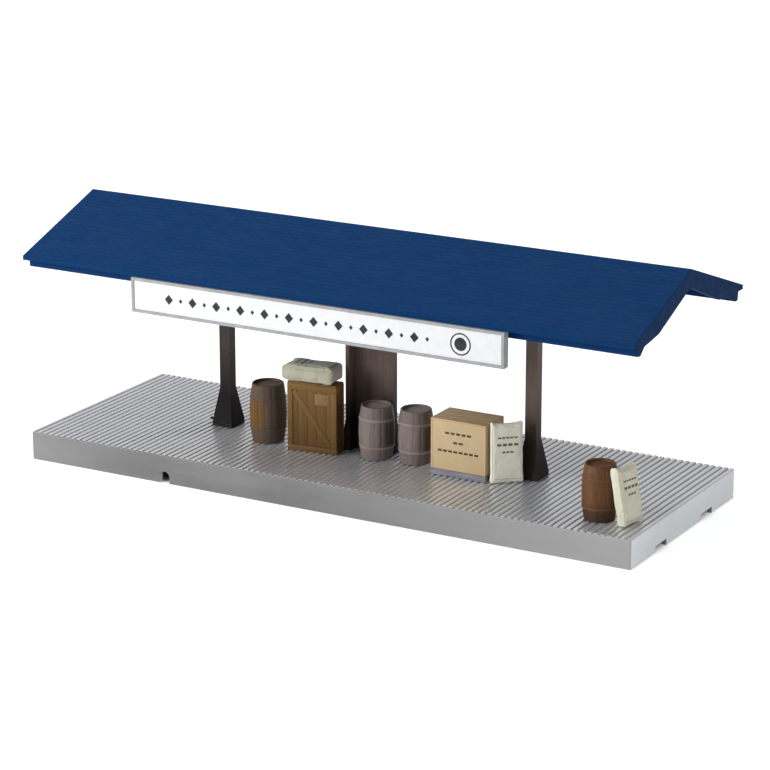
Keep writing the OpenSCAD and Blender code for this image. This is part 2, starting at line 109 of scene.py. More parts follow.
class Paint:
    """A procedural material: one Principled surface, with short names for the nodes that feed it."""

    def __init__(self, name, roughness=0.5, metallic=0.0, shine=0.25):
        self.material = bpy.data.materials.new(name)
        self.material.use_nodes = True
        self.tree = self.material.node_tree
        self.surface = self.tree.nodes["Principled BSDF"]
        self.set("Roughness", roughness)
        self.set("Metallic", metallic)
        self.set("Specular IOR Level", shine)
        self.place = self.node("ShaderNodeTexCoord").outputs["Object"]
        self.last_bump = None

    def node(self, kind, **settings):
        made = self.tree.nodes.new(kind)
        for key, value in settings.items():
            setattr(made, key, value)
        return made

    def feed(self, socket, value):
        """Links or sets an input. Three numbers are a display colour, 0 to 255 a channel."""
        if isinstance(value, bpy.types.NodeSocket):
            self.tree.links.new(value, socket)
        elif isinstance(value, tuple) and len(value) == 3:
            socket.default_value = linear_colour(value)
        else:
            socket.default_value = value

    def set(self, name, value):
        self.feed(self.surface.inputs[name], value)

    def maths(self, operation, *values):
        made = self.node("ShaderNodeMath", operation=operation)
        for socket, value in zip(made.inputs, values):
            self.feed(socket, value)
        return made.outputs[0]

    def times(self, first, *others):
        """The product of all the values."""
        for value in others:
            first = self.maths("MULTIPLY", first, value)
        return first

    def stretched(self, x, y, z):
        """Object coordinates in which one unit is x, y and z millimetres long."""
        made = self.node("ShaderNodeVectorMath", operation="MULTIPLY")
        self.feed(made.inputs[0], self.place)
        made.inputs[1].default_value = [1 / (MM * size) for size in (x, y, z)]
        return made.outputs[0]

    def noise(self, x, y, z, detail=3.0, roughness=0.55):
        """Smooth noise from 0 to 1, with spots about x by y by z millimetres."""
        made = self.node("ShaderNodeTexNoise")
        self.feed(made.inputs["Vector"], self.stretched(x, y, z))
        self.feed(made.inputs["Scale"], 1.0)
        self.feed(made.inputs["Detail"], detail)
        self.feed(made.inputs["Roughness"], roughness)
        return made.outputs["Fac"]

    def axis(self, letter):
        """One object coordinate in millimetres."""
        made = self.node("ShaderNodeSeparateXYZ")
        self.feed(made.inputs[0], self.stretched(1, 1, 1))
        return made.outputs[letter]

    def facing(self, letter):
        """One part of the surface's own normal, from -1 to 1."""
        made = self.node("ShaderNodeSeparateXYZ")
        self.feed(made.inputs[0], self.node("ShaderNodeNewGeometry").outputs["Normal"])
        return made.outputs[letter]

    def flat_to(self, letter, low, high, to_low=0.0, to_high=1.0):
        """How squarely the surface faces either way along an axis, spread over a range."""
        return self.spread(self.maths("ABSOLUTE", self.facing(letter)), low, high, to_low, to_high)

    def tone(self):
        """The value that mesh code gave each board, stave or tile, from 0 to 1."""
        return self.node("ShaderNodeAttribute", attribute_name="tone").outputs["Fac"]

    def spread(self, value, low, high, to_low=0.0, to_high=1.0):
        """Value as it goes from low to high, as a number from to_low to to_high."""
        made = self.node("ShaderNodeMapRange", clamp=True)
        for socket, number in zip(made.inputs, (value, low, high, to_low, to_high)):
            self.feed(socket, number)
        return made.outputs[0]

    def mix(self, share, first, second, blend="MIX"):
        made = self.node("ShaderNodeMix", data_type="RGBA", blend_type=blend)
        self.feed(made.inputs[0], share)
        self.feed(made.inputs[6], first)
        self.feed(made.inputs[7], second)
        return made.outputs[2]

    def grey(self, value):
        """A grey of this value as a colour socket."""
        made = self.node("ShaderNodeCombineColor")
        for socket in made.inputs:
            self.feed(socket, value)
        return made.outputs[0]

    def colour_so_far(self):
        return self.surface.inputs["Base Color"].links[0].from_socket

    def bump(self, height, depth):
        """Adds relief of this depth in millimetres, on top of any earlier relief."""
        made = self.node("ShaderNodeBump")
        self.feed(made.inputs["Height"], height)
        self.feed(made.inputs["Distance"], depth * MM)
        if self.last_bump is not None:
            self.feed(made.inputs["Normal"], self.last_bump)
        self.last_bump = made.outputs["Normal"]
        self.set("Normal", self.last_bump)

    def worn_edges(self, radius):
        """Share from 0 to 1 that is high along sharp edges, within this radius in millimetres."""
        rounded = self.node("ShaderNodeBevel", samples=4)
        self.feed(rounded.inputs["Radius"], radius * MM)
        product = self.node("ShaderNodeVectorMath", operation="DOT_PRODUCT")
        self.feed(product.inputs[0], rounded.outputs["Normal"])
        self.feed(product.inputs[1], self.node("ShaderNodeNewGeometry").outputs["Normal"])
        off = self.maths("SUBTRACT", 1.0, product.outputs["Value"])
        patchy = self.spread(self.noise(3, 3, 3), 0.35, 0.65, 0.2, 1.0)
        return self.times(self.spread(off, 0.04, 0.25), patchy)


def silver_paint(deck_z, half_length):
    """Moulded plastic in metallic silver: glossy board tops, painted shade in the grooves, cloudy duller
    walls painted lighter towards both ends as painted light, and end faces painted near-white as a painted
    reflection.
    """
    p = Paint("platform_silver")
    cloud = p.spread(p.noise(34, 34, 9, detail=4), 0.35, 0.68)
    wall = p.mix(cloud, (128, 128, 128), (141, 141, 141))
    # Painted light: the walls are painted lighter towards the right end and, less strongly, towards the left
    # end.
    wall = p.mix(p.spread(p.axis("X"), 0, 140, 0.0, 0.8), wall, (184, 184, 185))
    wall = p.mix(p.spread(p.axis("X"), -90, -150, 0.0, 0.4), wall, (168, 168, 169))
    # Painted reflection: faces turned along X, the two end walls, are painted near-white.
    end = p.flat_to("X", 0.8, 0.95)
    wall = p.mix(end, wall, p.mix(cloud, (242, 246, 250), (250, 253, 255)))
    top = p.mix(cloud, (228, 229, 231), (238, 239, 241))
    upward = p.spread(p.facing("Z"), 0.3, 0.7)
    rib_side = p.flat_to("X", 0.3, 0.7)
    buried = p.times(rib_side, p.spread(p.axis("Z"), deck_z - 1.2, deck_z - 0.9))
    inside = p.spread(p.maths("ABSOLUTE", p.axis("X")), half_length - 0.6, half_length - 1.2)
    wall = p.mix(p.times(buried, inside), wall, (226, 227, 229))
    colour = p.mix(upward, wall, top)
    # Painted shade: the lower part of each groove is painted darker, more towards the right end.
    depth = p.spread(p.axis("Z"), deck_z - 0.08, deck_z - 0.55)
    on_deck = p.flat_to("Y", 0.6, 0.4)
    groove = p.times(depth, on_deck, inside)
    groove_shade = p.times(groove, p.spread(p.axis("X"), -90, 70, 0.0, 0.28))
    colour = p.mix(groove_shade, colour, (84, 84, 92))
    p.set("Base Color", colour)
    p.set("Metallic", p.spread(upward, 0.0, 1.0, 0.3, 0.55))
    p.set("Roughness", p.spread(p.noise(18, 6, 6, detail=2), 0.3, 0.7, 0.18, 0.26))
    p.bump(p.noise(14, 14, 8, detail=1), 0.03)
    return p


def blue_paint():
    """Deep blue moulded roof: dull, faintly grained, tiles of slightly mixed tone, painted shade on the
    upright faces.
    """
    p = Paint("roof_blue", shine=0.06)
    grain = p.noise(26, 0.9, 0.9, detail=4)
    colour = p.mix(p.spread(grain, 0.3, 0.7), (6, 57, 107), (10, 62, 115))
    colour = p.mix(p.times(p.tone(), 0.05), colour, (48, 92, 150))
    dust = p.spread(p.noise(40, 26, 26, detail=5), 0.5, 0.75, 0.0, 0.05)
    colour = p.mix(dust, colour, (70, 104, 150))
    colour = p.mix(p.times(p.worn_edges(0.3), 0.12), colour, (56, 94, 146))
    # Painted shade: faces that stand upright, the gable ends most, are painted darker.
    for letter, start, share in (("X", 0.5, 0.45), ("Y", 0.6, 0.25)):
        upright = p.flat_to(letter, start, 0.9, 0.0, share)
        colour = p.mix(upright, colour, (4, 24, 52))
    p.set("Base Color", colour)
    p.set("Roughness", p.spread(p.noise(12, 5, 5), 0.3, 0.7, 0.5, 0.64))
    p.bump(grain, 0.01)
    p.bump(p.noise(0.4, 0.4, 0.4, detail=2), 0.006)
    return p


def brown_post_paint(deck_z):
    """Satin dark brown plastic of the posts and pier, with painted shade on the left post and towards the
    foot.
    """
    p = Paint("post_brown", shine=0.3)
    grain = p.noise(1.2, 1.2, 22, detail=4)
    colour = p.mix(p.spread(grain, 0.3, 0.7), (92, 75, 68), (108, 90, 82))
    # Painted shade: brown parts near the left end, the left post most, are painted darker.
    left_post_shade = p.spread(p.axis("X"), -66, -20, 1.0, 0.0)
    colour = p.mix(p.times(left_post_shade, 0.82), colour, (30, 24, 21))
    # Painted shade: from 40 mm above the deck down to the foot the paint runs into near-black.
    foot = p.spread(p.axis("Z"), deck_z + 40, deck_z + 14)
    colour = p.mix(p.times(foot, 0.85), colour, (10, 8, 7))
    worn = p.times(p.worn_edges(0.3), p.spread(foot, 0.0, 1.0, 0.35, 0.12))
    colour = p.mix(worn, colour, (118, 106, 102))
    p.set("Base Color", colour)
    p.set("Specular IOR Level", p.spread(foot, 0.0, 1.0, 0.3, 0.1))
    p.set("Roughness", p.spread(p.noise(5, 5, 9), 0.3, 0.7, 0.26, 0.4))
    p.bump(grain, 0.02)
    return p


def moulded_paint(name, dark, light, roughness=0.45, metallic=0.0, grain=(4, 4, 4), wear=0.3):
    """Plain moulded or plated part: two near tones in patches, fine relief and paler edges."""
    p = Paint(name, roughness=roughness, metallic=metallic)
    patches = p.spread(p.noise(*grain, detail=4), 0.3, 0.7)
    colour = p.mix(patches, dark, light)
    paler = (*[min(1.0, 0.25 + 0.9 * c) for c in linear_colour(light)[:3]], 1.0)
    colour = p.mix(p.times(p.worn_edges(0.2), wear), colour, paler)
    p.set("Base Color", colour)
    p.set("Roughness", p.spread(p.noise(3, 3, 3), 0.3, 0.7, roughness * 0.85, roughness * 1.2))
    p.bump(p.noise(0.4, 0.4, 0.4, detail=2), 0.01)
    return p


def wood_paint(name, dark, light, edge, roughness=0.55, along="Z"):
    """Moulded wood in painted plastic: grain along one axis, a tone for each board and lighter edges."""
    p = Paint(name, roughness=roughness)
    long, across = 14, 0.7
    size = [long if letter == along else across for letter in "XYZ"]
    grain = p.noise(*size, detail=5, roughness=0.6)
    colour = p.mix(p.spread(grain, 0.32, 0.68), dark, light)
    shade = p.spread(p.tone(), 0.0, 1.0, 0.82, 1.1)
    colour = p.mix(1.0, colour, p.grey(shade), blend="MULTIPLY")
    stain = p.spread(p.noise(7, 7, 7, detail=4), 0.5, 0.72, 0.0, 0.35)
    colour = p.mix(stain, colour, dark)
    colour = p.mix(p.times(p.worn_edges(0.25), 0.45), colour, edge)
    p.set("Base Color", colour)
    p.set("Roughness", p.spread(grain, 0.3, 0.7, roughness * 0.85, roughness * 1.15))
    p.bump(grain, 0.06)
    p.bump(p.noise(0.4, 0.4, 0.4, detail=2), 0.012)
    return p


def banded_barrel_paint(name, ends, low, high, foot_z, top_z, soft=1.5, roughness=0.5,
                        upper_share=1.0, painted_shade=None, painted_shade_where=(0.05, 0.62)):
    """Staves with one pair of browns between the hoops and another tone beyond them, and painted shade on the
    side facing +X when a shade colour is given.
    """
    p = wood_paint(name, low, high, (186, 150, 120), roughness=roughness)
    made = p.colour_so_far()
    lower_z, upper_z = [foot_z + share * (top_z - foot_z) for share in (0.26, 0.74)]
    upper = p.spread(p.axis("Z"), upper_z - soft, upper_z + soft, 0.0, upper_share)
    lower = p.spread(p.axis("Z"), lower_z + soft, lower_z - soft)
    share = p.times(p.maths("MAXIMUM", upper, lower), 0.85)
    # Painted shade: faces turned towards +X run into the given shade colour.
    if painted_shade:
        right = p.spread(p.facing("X"), *painted_shade_where, 0.0, 0.9)
        made = p.mix(right, made, painted_shade)
    patchy = p.spread(p.noise(1.5, 1.5, 9, detail=4), 0.3, 0.6, 0.75, 1.0)
    p.set("Base Color", p.mix(p.times(share, patchy), made, ends))
    return p


def sack_paint(name, low, high):
    """Woven sackcloth: fine crossed threads, soft colour patches and a dusty sheen."""
    p = Paint(name, roughness=0.82)
    patches = p.spread(p.noise(8, 8, 8, detail=4), 0.32, 0.7)
    colour = p.mix(patches, low, high)
    x, y, z = [weave_band(p, letter) for letter in "XYZ"]
    weave = p.maths("MAXIMUM", p.times(x, z), p.times(y, z))
    colour = p.mix(p.spread(weave, 0.1, 0.9, 0.14, 0.0), colour, (150, 146, 118))
    stain = p.spread(p.noise(2.5, 2.5, 2.5, detail=5), 0.58, 0.75, 0.0, 0.25)
    colour = p.mix(stain, colour, (176, 168, 138))
    p.set("Base Color", colour)
    p.set("Sheen Weight", 0.25)
    p.set("Sheen Roughness", 0.5)
    p.bump(p.noise(2.2, 2.2, 2.2, detail=4), 0.12)
    p.bump(weave, 0.035)
    return p


def weave_band(p, letter):
    """Threads that repeat along one axis, as a wave from 0 to 1."""
    angle = p.times(p.axis(letter), 2 * pi / THREAD_PITCH)
    return p.maths("ADD", p.times(p.maths("SINE", angle), 0.5), 0.5)


def glass_paint():
    """Frosted warm bulb glass with a slightly uneven skin."""
    p = Paint("bulb_glass", roughness=0.18)
    p.set("Transmission Weight", 0.55)
    p.set("IOR", 1.45)
    cloudy = p.spread(p.noise(2, 2, 2), 0.3, 0.7)
    p.set("Base Color", p.mix(cloudy, (250, 238, 200), (255, 250, 232)))
    p.bump(p.noise(0.8, 0.8, 0.8), 0.01)
    return p


def floor_paint():
    """Pale floor that glows, most for the camera, so that it stays even beyond the soft boxes."""
    p = Paint("studio_floor", roughness=0.8, shine=0.0)
    cloudy = p.spread(p.noise(300, 300, 300), 0.3, 0.7)
    p.set("Base Color", p.mix(cloudy, (246, 246, 246), (250, 250, 250)))
    p.set("Emission Color", (255, 255, 255))
    clear_x = p.maths("SUBTRACT", p.maths("ABSOLUTE", p.axis("X")), SHADE_X)
    clear_y = p.maths("SUBTRACT", p.maths("ABSOLUTE", p.axis("Y")), SHADE_Y)
    outside = p.spread(p.maths("MAXIMUM", clear_x, clear_y), 0, 6)
    seen = p.node("ShaderNodeLightPath").outputs["Is Camera Ray"]
    glow = p.spread(seen, 0.0, 1.0, FLOOR_GLOW_UNSEEN, FLOOR_GLOW)
    p.set("Emission Strength", p.times(glow, outside))
    return p


# ---------------------------------------------------------------- mesh helpers

def put(name, data):
    """A new object of this data, linked into the scene."""
    made = bpy.data.objects.new(name, data)
    bpy.context.scene.collection.objects.link(made)
    return made


def object_from(name, bm):
    mesh = bpy.data.meshes.new(name)
    bm.to_mesh(mesh)
    bm.free()
    return put(name, mesh)


def new_bmesh():
    """An empty bmesh whose faces carry a tone."""
    bm = bmesh.new()
    bm.faces.layers.float.new("tone")
    return bm


def add_object(name, bm, paint, body, slot, *replaced, sharp=35):
    """Makes a shown piece from a bmesh, which rides on a body and may stand for CAD nodes."""
    bmesh.ops.recalc_face_normals(bm, faces=bm.faces)
    made = object_from(name, bm)
    made.data.materials.append(paint.material)
    made.data.shade_smooth()
    made.data.set_sharp_from_angle(angle=radians(sharp))
    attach(made, body)
    if replaced:
        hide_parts(*replaced)


def add_part(name, add, sizes, paint, body, slot, *replaced, sharp=35):
    """Makes a shown piece whose mesh comes from add(bm, *sizes)."""
    bm = new_bmesh()
    add(bm, *sizes)
    add_object(name, bm, paint, body, slot, *replaced, sharp=sharp)


def set_tone(bm, faces, value):
    layer = bm.faces.layers.float["tone"]
    for face in faces:
        face[layer] = value


def add_board(bm, matrix, low, high, edge, tone=0.5, segments=2):
    """A block from one corner to the other with rounded edges, placed by a matrix."""
    size = Vector(high) - Vector(low)
    centre = (Vector(high) + Vector(low)) / 2
    place = matrix @ Matrix.Translation(centre) @ Matrix.Diagonal((*size, 1.0))
    made = bmesh.ops.create_cube(bm, size=1.0, matrix=place)
    edges = list({e for v in made["verts"] for e in v.link_edges})
    faces = {f for v in made["verts"] for f in v.link_faces}
    bevel = bmesh.ops.bevel(bm, geom=edges, offset=edge, segments=segments, profile=0.5,
                            affect="EDGES", clamp_overlap=True)
    faces = {f for f in faces if f.is_valid} | set(bevel["faces"])
    set_tone(bm, faces, tone)


def split(low, high, count, before=0.0, after=0.0):
    """Equal parts of a length as (start, end) pairs, each cut short by these lengths at its ends."""
    step = (high - low) / count
    return [(low + step * k + before, low + step * (k + 1) - after) for k in range(count)]


def dashes(half_width, count):
    """Evenly spaced dashes over a line's width, as (start, end) pairs."""
    gap = 0.28 * half_width / count
    return split(-half_width, half_width, count, gap, gap)


def bridge(bm, low, high):
    """The band of faces between two closed rings."""
    count = len(low)
    steps = [(k, (k + 1) % count) for k in range(count)]
    return [bm.faces.new((low[k], low[n], high[n], high[k])) for k, n in steps]


def add_prism(bm, rings):
    """A closed body through rings, with a cap on the first and on the last. Returns its faces."""
    faces = [bm.faces.new(rings[0]), bm.faces.new(rings[-1])]
    for low, high in zip(rings, rings[1:]):
        faces += bridge(bm, low, high)
    return faces


def add_revolved(bm, centre, profile, columns, drop_at=None, tones=None, closed=False):
    """Turns a profile of (radius, height) points round the Z axis through centre.

    A profile that isn't closed runs from axis to axis, and its ends close as fans.
    drop_at(column, row) is taken off the radius, and tones gives each column its tone."""
    ways = [2 * pi * i / columns for i in range(columns)]
    tones = tones or [0.5] * columns
    rows = []
    for j, (radius, height) in enumerate(profile):
        reach = [radius - (drop_at(i, j) if drop_at else 0.0) for i in range(columns)]
        rows.append([bm.verts.new(centre + Vector((r * cos(a), r * sin(a), height)))
                     for r, a in zip(reach, ways)])
    pairs = list(zip(rows, rows[1:]))
    if closed:
        pairs.append((rows[-1], rows[0]))
    for low, high in pairs:
        for face, tone in zip(bridge(bm, low, high), tones):
            set_tone(bm, [face], tone)
    if not closed:
        set_tone(bm, [bm.faces.new(rows[0]), bm.faces.new(rows[-1])], 0.5)


def add_tube(bm, points, radius, sides=8):
    """A round tube through the points, closed at both ends."""
    points = [Vector(p) for p in points]
    up = Vector((0, 0, 1))
    rings = []
    for i, p in enumerate(points):
        ahead = points[min(i + 1, len(points) - 1)] - points[max(i - 1, 0)]
        ahead.normalize()
        if abs(ahead.dot(up)) > 0.95:
            up = Vector((0, 1, 0)) if abs(ahead.y) < 0.9 else Vector((1, 0, 0))
        side = ahead.cross(up).normalized()
        up = side.cross(ahead).normalized()
        turn = [2 * pi * k / sides for k in range(sides)]
        rings.append([bm.verts.new(p + radius * (cos(a) * side + sin(a) * up)) for a in turn])
    set_tone(bm, add_prism(bm, rings), 0.5)


# ---------------------------------------------------------------- CAD nodes that stay

def link_all(tree, *pairs):
    for output, socket in pairs:
        tree.links.new(output, socket)


def smooth_by_angle(degrees):
    """A node group that smooths every edge flatter than the angle and keeps the others sharp."""
    group = bpy.data.node_groups.new("smooth_by_angle", "GeometryNodeTree")
    for way in ("INPUT", "OUTPUT"):
        group.interface.new_socket("Geometry", in_out=way, socket_type="NodeSocketGeometry")
    kinds = ("NodeGroupInput", "NodeGroupOutput", "GeometryNodeInputMeshEdgeAngle",
             "FunctionNodeCompare", "GeometryNodeSetShadeSmooth", "GeometryNodeSetShadeSmooth")
    start, end, angle, flat, faces, edges = [group.nodes.new(kind) for kind in kinds]
    flat.operation = "LESS_EQUAL"
    flat.inputs[1].default_value = radians(degrees)
    edges.domain = "EDGE"
    link_all(group, (start.outputs[0], faces.inputs["Geometry"]),
             (faces.outputs[0], edges.inputs["Geometry"]), (angle.outputs[0], flat.inputs[0]),
             (flat.outputs[0], edges.inputs["Shade Smooth"]), (edges.outputs[0], end.inputs[0]))
    return group


SMOOTH = smooth_by_angle(12)


def finish_nodes(paint, slot, edge, *names):
    """Gives CAD nodes their paint and, by modifiers only, edges rounded by this many millimetres."""
    for name in names:
        node = NODES[name]
        node.data.materials.clear()
        node.data.materials.append(paint.material)
        weld = node.modifiers.new("weld", "WELD")
        weld.merge_threshold = 0.002 * MM
        flat = node.modifiers.new("flat", "DECIMATE")
        flat.decimate_type = "DISSOLVE"
        flat.angle_limit = radians(0.5)
        if edge:
            bevel = node.modifiers.new("edge", "BEVEL")
            bevel.width = edge * MM
            bevel.segments = 2
            bevel.limit_method = "ANGLE"
            bevel.angle_limit = radians(30)
            bevel.harden_normals = True
        smooth = node.modifiers.new("smooth", "NODES")
        smooth.node_group = SMOOTH


# Parts in plain plastic or metal: slot, dark and light tone, roughness, other settings,
# rounded edge in millimetres, and the CAD nodes
MOULDED = (
    ("sign_grey", (156, 158, 161), (174, 176, 179), 0.4, {}, 0.18, ("front_sign_frame", "rear_sign_frame")),
    ("sign_white", (231, 232, 233), (237, 238, 239), 0.34, {"wear": 0.05}, 0.08,
     ("front_sign_board", "rear_sign_board")),
    ("screw_steel", (150, 150, 152), (190, 190, 194), 0.3, {"metallic": 1.0}, 0.06,
     ("post_screws", "pier_screws")),
    ("terminal_brass", (176, 138, 62), (214, 178, 96), 0.3, {"metallic": 1.0}, 0.06, ("terminal_screws",)),
    ("terminal_black", (22, 22, 24), (38, 38, 40), 0.4, {}, 0.15, ("terminal_block",)),
    ("socket_ivory", (214, 206, 182), (234, 228, 208), 0.4, {}, 0.12, ("lamp_sockets",)),
    ("skid_grey", (122, 121, 128), (150, 149, 158), 0.5, {"grain": (9, 1, 1)}, 0.15, ("box_skid",)),
)


def finish_frame_nodes(blue):
    """Materials and rounded edges for the hard parts that keep their CAD shape."""
    brown = brown_post_paint(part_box("platform_base")[1].z / MM)
    finish_nodes(brown, "post_brown", 0.25, "left_post", "right_post", "centre_pier")
    finish_nodes(brown, "post_brown", 0.15, "ridge_channel")
    finish_nodes(blue, "roof_blue", 0.2, "roof_shell")
    finish_nodes(glass_paint(), "bulb_glass", 0, "lamp_bulbs")
    for slot, dark, light, roughness, more, edge, nodes in MOULDED:
        finish_nodes(moulded_paint(slot, dark, light, roughness, **more), slot, edge, *nodes)


# ---------------------------------------------------------------- platform

BOARD_PITCH = 3.125 * MM
GROOVE_WIDTH = 1.3 * MM
GROOVE_DEPTH = 0.7 * MM
RIDGE_ROUND = 0.2 * MM
PLAN_ROUND = 0.8 * MM
TOP_CHAMFER = 0.14 * MM
WALL = 2.2 * MM
UNDER_Z = 10.6 * MM
RIB = 1.6 * MM
CROSS_RIBS = (-120 * MM, -40 * MM, 40 * MM, 120 * MM)
CROSS_RIB_Z = 5 * MM
LONG_RIB_Y = 28 * MM
LONG_RIB_Z = 7 * MM
BOSS_Z = 7.4 * MM
BOSS_R = 7 * MM
NOTCH = (11.3 * MM, 3 * MM)
NOTCH_Y = 24 * MM
WIRE_HOLE = (5 * MM, 5.5 * MM)
BORE_R = 1.2 * MM
SCREW_HOLE_R = 0.85 * MM
SCREW_DX = 3.2 * MM
PIER_SCREW_DX = 7 * MM
PIER_BOSS = Vector((11.7 * MM, 3.65 * MM, 0))
SLAB = 1.7 * MM


def rounded_path(corners):
    """The open path through (x, z, radius) corners, with an arc of two steps at each round corner."""
    path = [Vector(corners[0][:2])]
    for before, (x, z, radius), after in zip(corners, corners[1:], corners[2:]):
        corner = Vector((x, z))
        if not radius:
            path.append(corner)
            continue
        back = (Vector(before[:2]) - corner).normalized()
        ahead = (Vector(after[:2]) - corner).normalized()
        half = back.angle(ahead) / 2
        centre = corner + (back + ahead).normalized() * (radius / sin(half))
        start = corner + back * (radius / tan(half)) - centre
        end = corner + ahead * (radius / tan(half)) - centre
        turn = start.angle_signed(end)
        path += [centre + Matrix.Rotation(-turn * share, 2) @ start for share in (0.0, 0.5, 1.0)]
    path.append(Vector(corners[-1][:2]))
    return path


def deck_path(half_length, deck_z):
    """The deck's outline from the front: boards with rounded edges and a groove between each two."""
    count = int((2 * half_length - 5 * MM) / BOARD_PITCH) + 1
    first = -(count - 1) * BOARD_PITCH / 2
    bevel = 0.5 * MM
    corners = [(-half_length, deck_z - bevel, 0), (-half_length + bevel, deck_z, RIDGE_ROUND)]
    for k in range(count):
        x = first + k * BOARD_PITCH
        floor_z = deck_z - GROOVE_DEPTH
        corners += [(x - GROOVE_WIDTH / 2, deck_z, RIDGE_ROUND), (x - GROOVE_WIDTH / 4, floor_z, 0),
                    (x + GROOVE_WIDTH / 4, floor_z, 0), (x + GROOVE_WIDTH / 2, deck_z, RIDGE_ROUND)]
    corners += [(half_length - bevel, deck_z, RIDGE_ROUND), (half_length, deck_z - bevel, 0)]
    return rounded_path(corners)


def deck_rows(half_width):
    """Places across the deck, each with the drop of its edge and the inset of the rounded plan corners."""
    turns = [radians(a) for a in (90, 60, 30, 0)]
    edge = [(half_width - PLAN_ROUND * (1 - sin(a)), PLAN_ROUND * (1 - cos(a))) for a in turns]
    outer = [(y, 0.0 if k else TOP_CHAMFER, inset) for k, (y, inset) in enumerate(edge)]
    return [(-y, drop, inset) for y, drop, inset in outer] + [(0.0, 0.0, 0.0)] + list(reversed(outer))


def add_deck(bm, half_length, half_width, deck_z, under_z):
    """The boards as a closed slab whose underside is flat."""
    path = deck_path(half_length, deck_z)
    margin = 1.2 * MM
    top, bottom = [], []
    for y, drop, inset in deck_rows(half_width):
        places = [p.x for p in path]
        places = [x - copysign(inset, x) if abs(x) > half_length - margin else x for x in places]
        top.append([bm.verts.new((x, y, p.y - drop)) for x, p in zip(places, path)])
        bottom.append([bm.verts.new((x, y, under_z)) for x in places])
    last = len(path) - 1
    for k in range(last):
        for row in range(len(top) - 1):
            bm.faces.new((top[row][k], top[row][k + 1], top[row + 1][k + 1], top[row + 1][k]))
            bm.faces.new((bottom[row][k], bottom[row + 1][k], bottom[row + 1][k + 1], bottom[row][k + 1]))
        bm.faces.new((top[0][k], bottom[0][k], bottom[0][k + 1], top[0][k + 1]))
        bm.faces.new((top[-1][k], top[-1][k + 1], bottom[-1][k + 1], bottom[-1][k]))
    for row in range(len(top) - 1):
        bm.faces.new((top[row][0], top[row + 1][0], bottom[row + 1][0], bottom[row][0]))
        bm.faces.new((top[row][last], bottom[row][last], bottom[row + 1][last], top[row + 1][last]))


def add_tray(bm, half_length, half_width, top_z):
    """The walls' outer form as a closed block with rounded plan corners and an eased lower edge."""
    ease = 0.2 * MM
    outline = []
    for sx, sy, start in ((1, -1, -90), (1, 1, 0), (-1, 1, 90), (-1, -1, 180)):
        for a in (0, 30, 60, 90):
            turn = radians(start + a)
            outline.append((Vector((sx * (half_length - PLAN_ROUND), sy * (half_width - PLAN_ROUND))),
                            Vector((cos(turn), sin(turn)))))
    rings = []
    for radius, z in ((PLAN_ROUND - ease, 0.0), (PLAN_ROUND, ease), (PLAN_ROUND, top_z)):
        rings.append([bm.verts.new((*(centre + way * radius), z)) for centre, way in outline])
    bmesh.ops.recalc_face_normals(bm, faces=add_prism(bm, rings))


def add_box(bm, low, high):
    """A plain block between two corners, for cutting."""
    size = Vector(high) - Vector(low)
    place = Matrix.Translation((Vector(high) + Vector(low)) / 2) @ Matrix.Diagonal((*size, 1.0))
    bmesh.ops.create_cube(bm, size=1.0, matrix=place)


def add_rod(bm, x, y, z0, z1, radius, segments=40):
    """An upright round rod, for cutting."""
    place = Matrix.Translation((x, y, (z0 + z1) / 2))
    bmesh.ops.create_cone(bm, cap_ends=True, segments=segments, radius1=radius, radius2=radius,
                          depth=z1 - z0, matrix=place)


def carve(target, bm):
    """Cuts the solids of a bmesh out of the target's mesh."""
    tool = object_from("tool", bm)
    apply_modifier(target, "BOOLEAN", operation="DIFFERENCE", solver="EXACT", use_self=True, object=tool)
    bpy.data.objects.remove(tool)


def platform_hollow(half_length, half_width, posts, pier):
    """The space under the deck: a block less its ribs, and less the bosses that take the screws."""
    bm = bmesh.new()
    inner_x, inner_y, over_z = half_length - WALL, half_width - WALL, UNDER_Z + MM
    add_box(bm, (-inner_x, -inner_y, -MM), (inner_x, inner_y, UNDER_Z))
    hollow = object_from("hollow", bm)
    cross, along, bosses = bmesh.new(), bmesh.new(), bmesh.new()
    for x in CROSS_RIBS:
        add_box(cross, (x - RIB / 2, -half_width, CROSS_RIB_Z), (x + RIB / 2, half_width, over_z))
    for y in (-LONG_RIB_Y, LONG_RIB_Y):
        add_box(along, (-half_length, y - RIB / 2, LONG_RIB_Z), (half_length, y + RIB / 2, over_z))
    for x in posts:
        add_rod(bosses, x, 0, BOSS_Z, over_z, BOSS_R)
    low, high = pier
    add_box(bosses, (low.x, low.y, BOSS_Z), (high.x, high.y, over_z))
    for bm in (cross, along, bosses):
        carve(hollow, bm)
    return bmesh_of(hollow)


def bmesh_of(obj):
    """The object's mesh as a bmesh, which takes the object's place."""
    bm = bmesh.new()
    bm.from_mesh(obj.data)
    bpy.data.objects.remove(obj)
    return bm


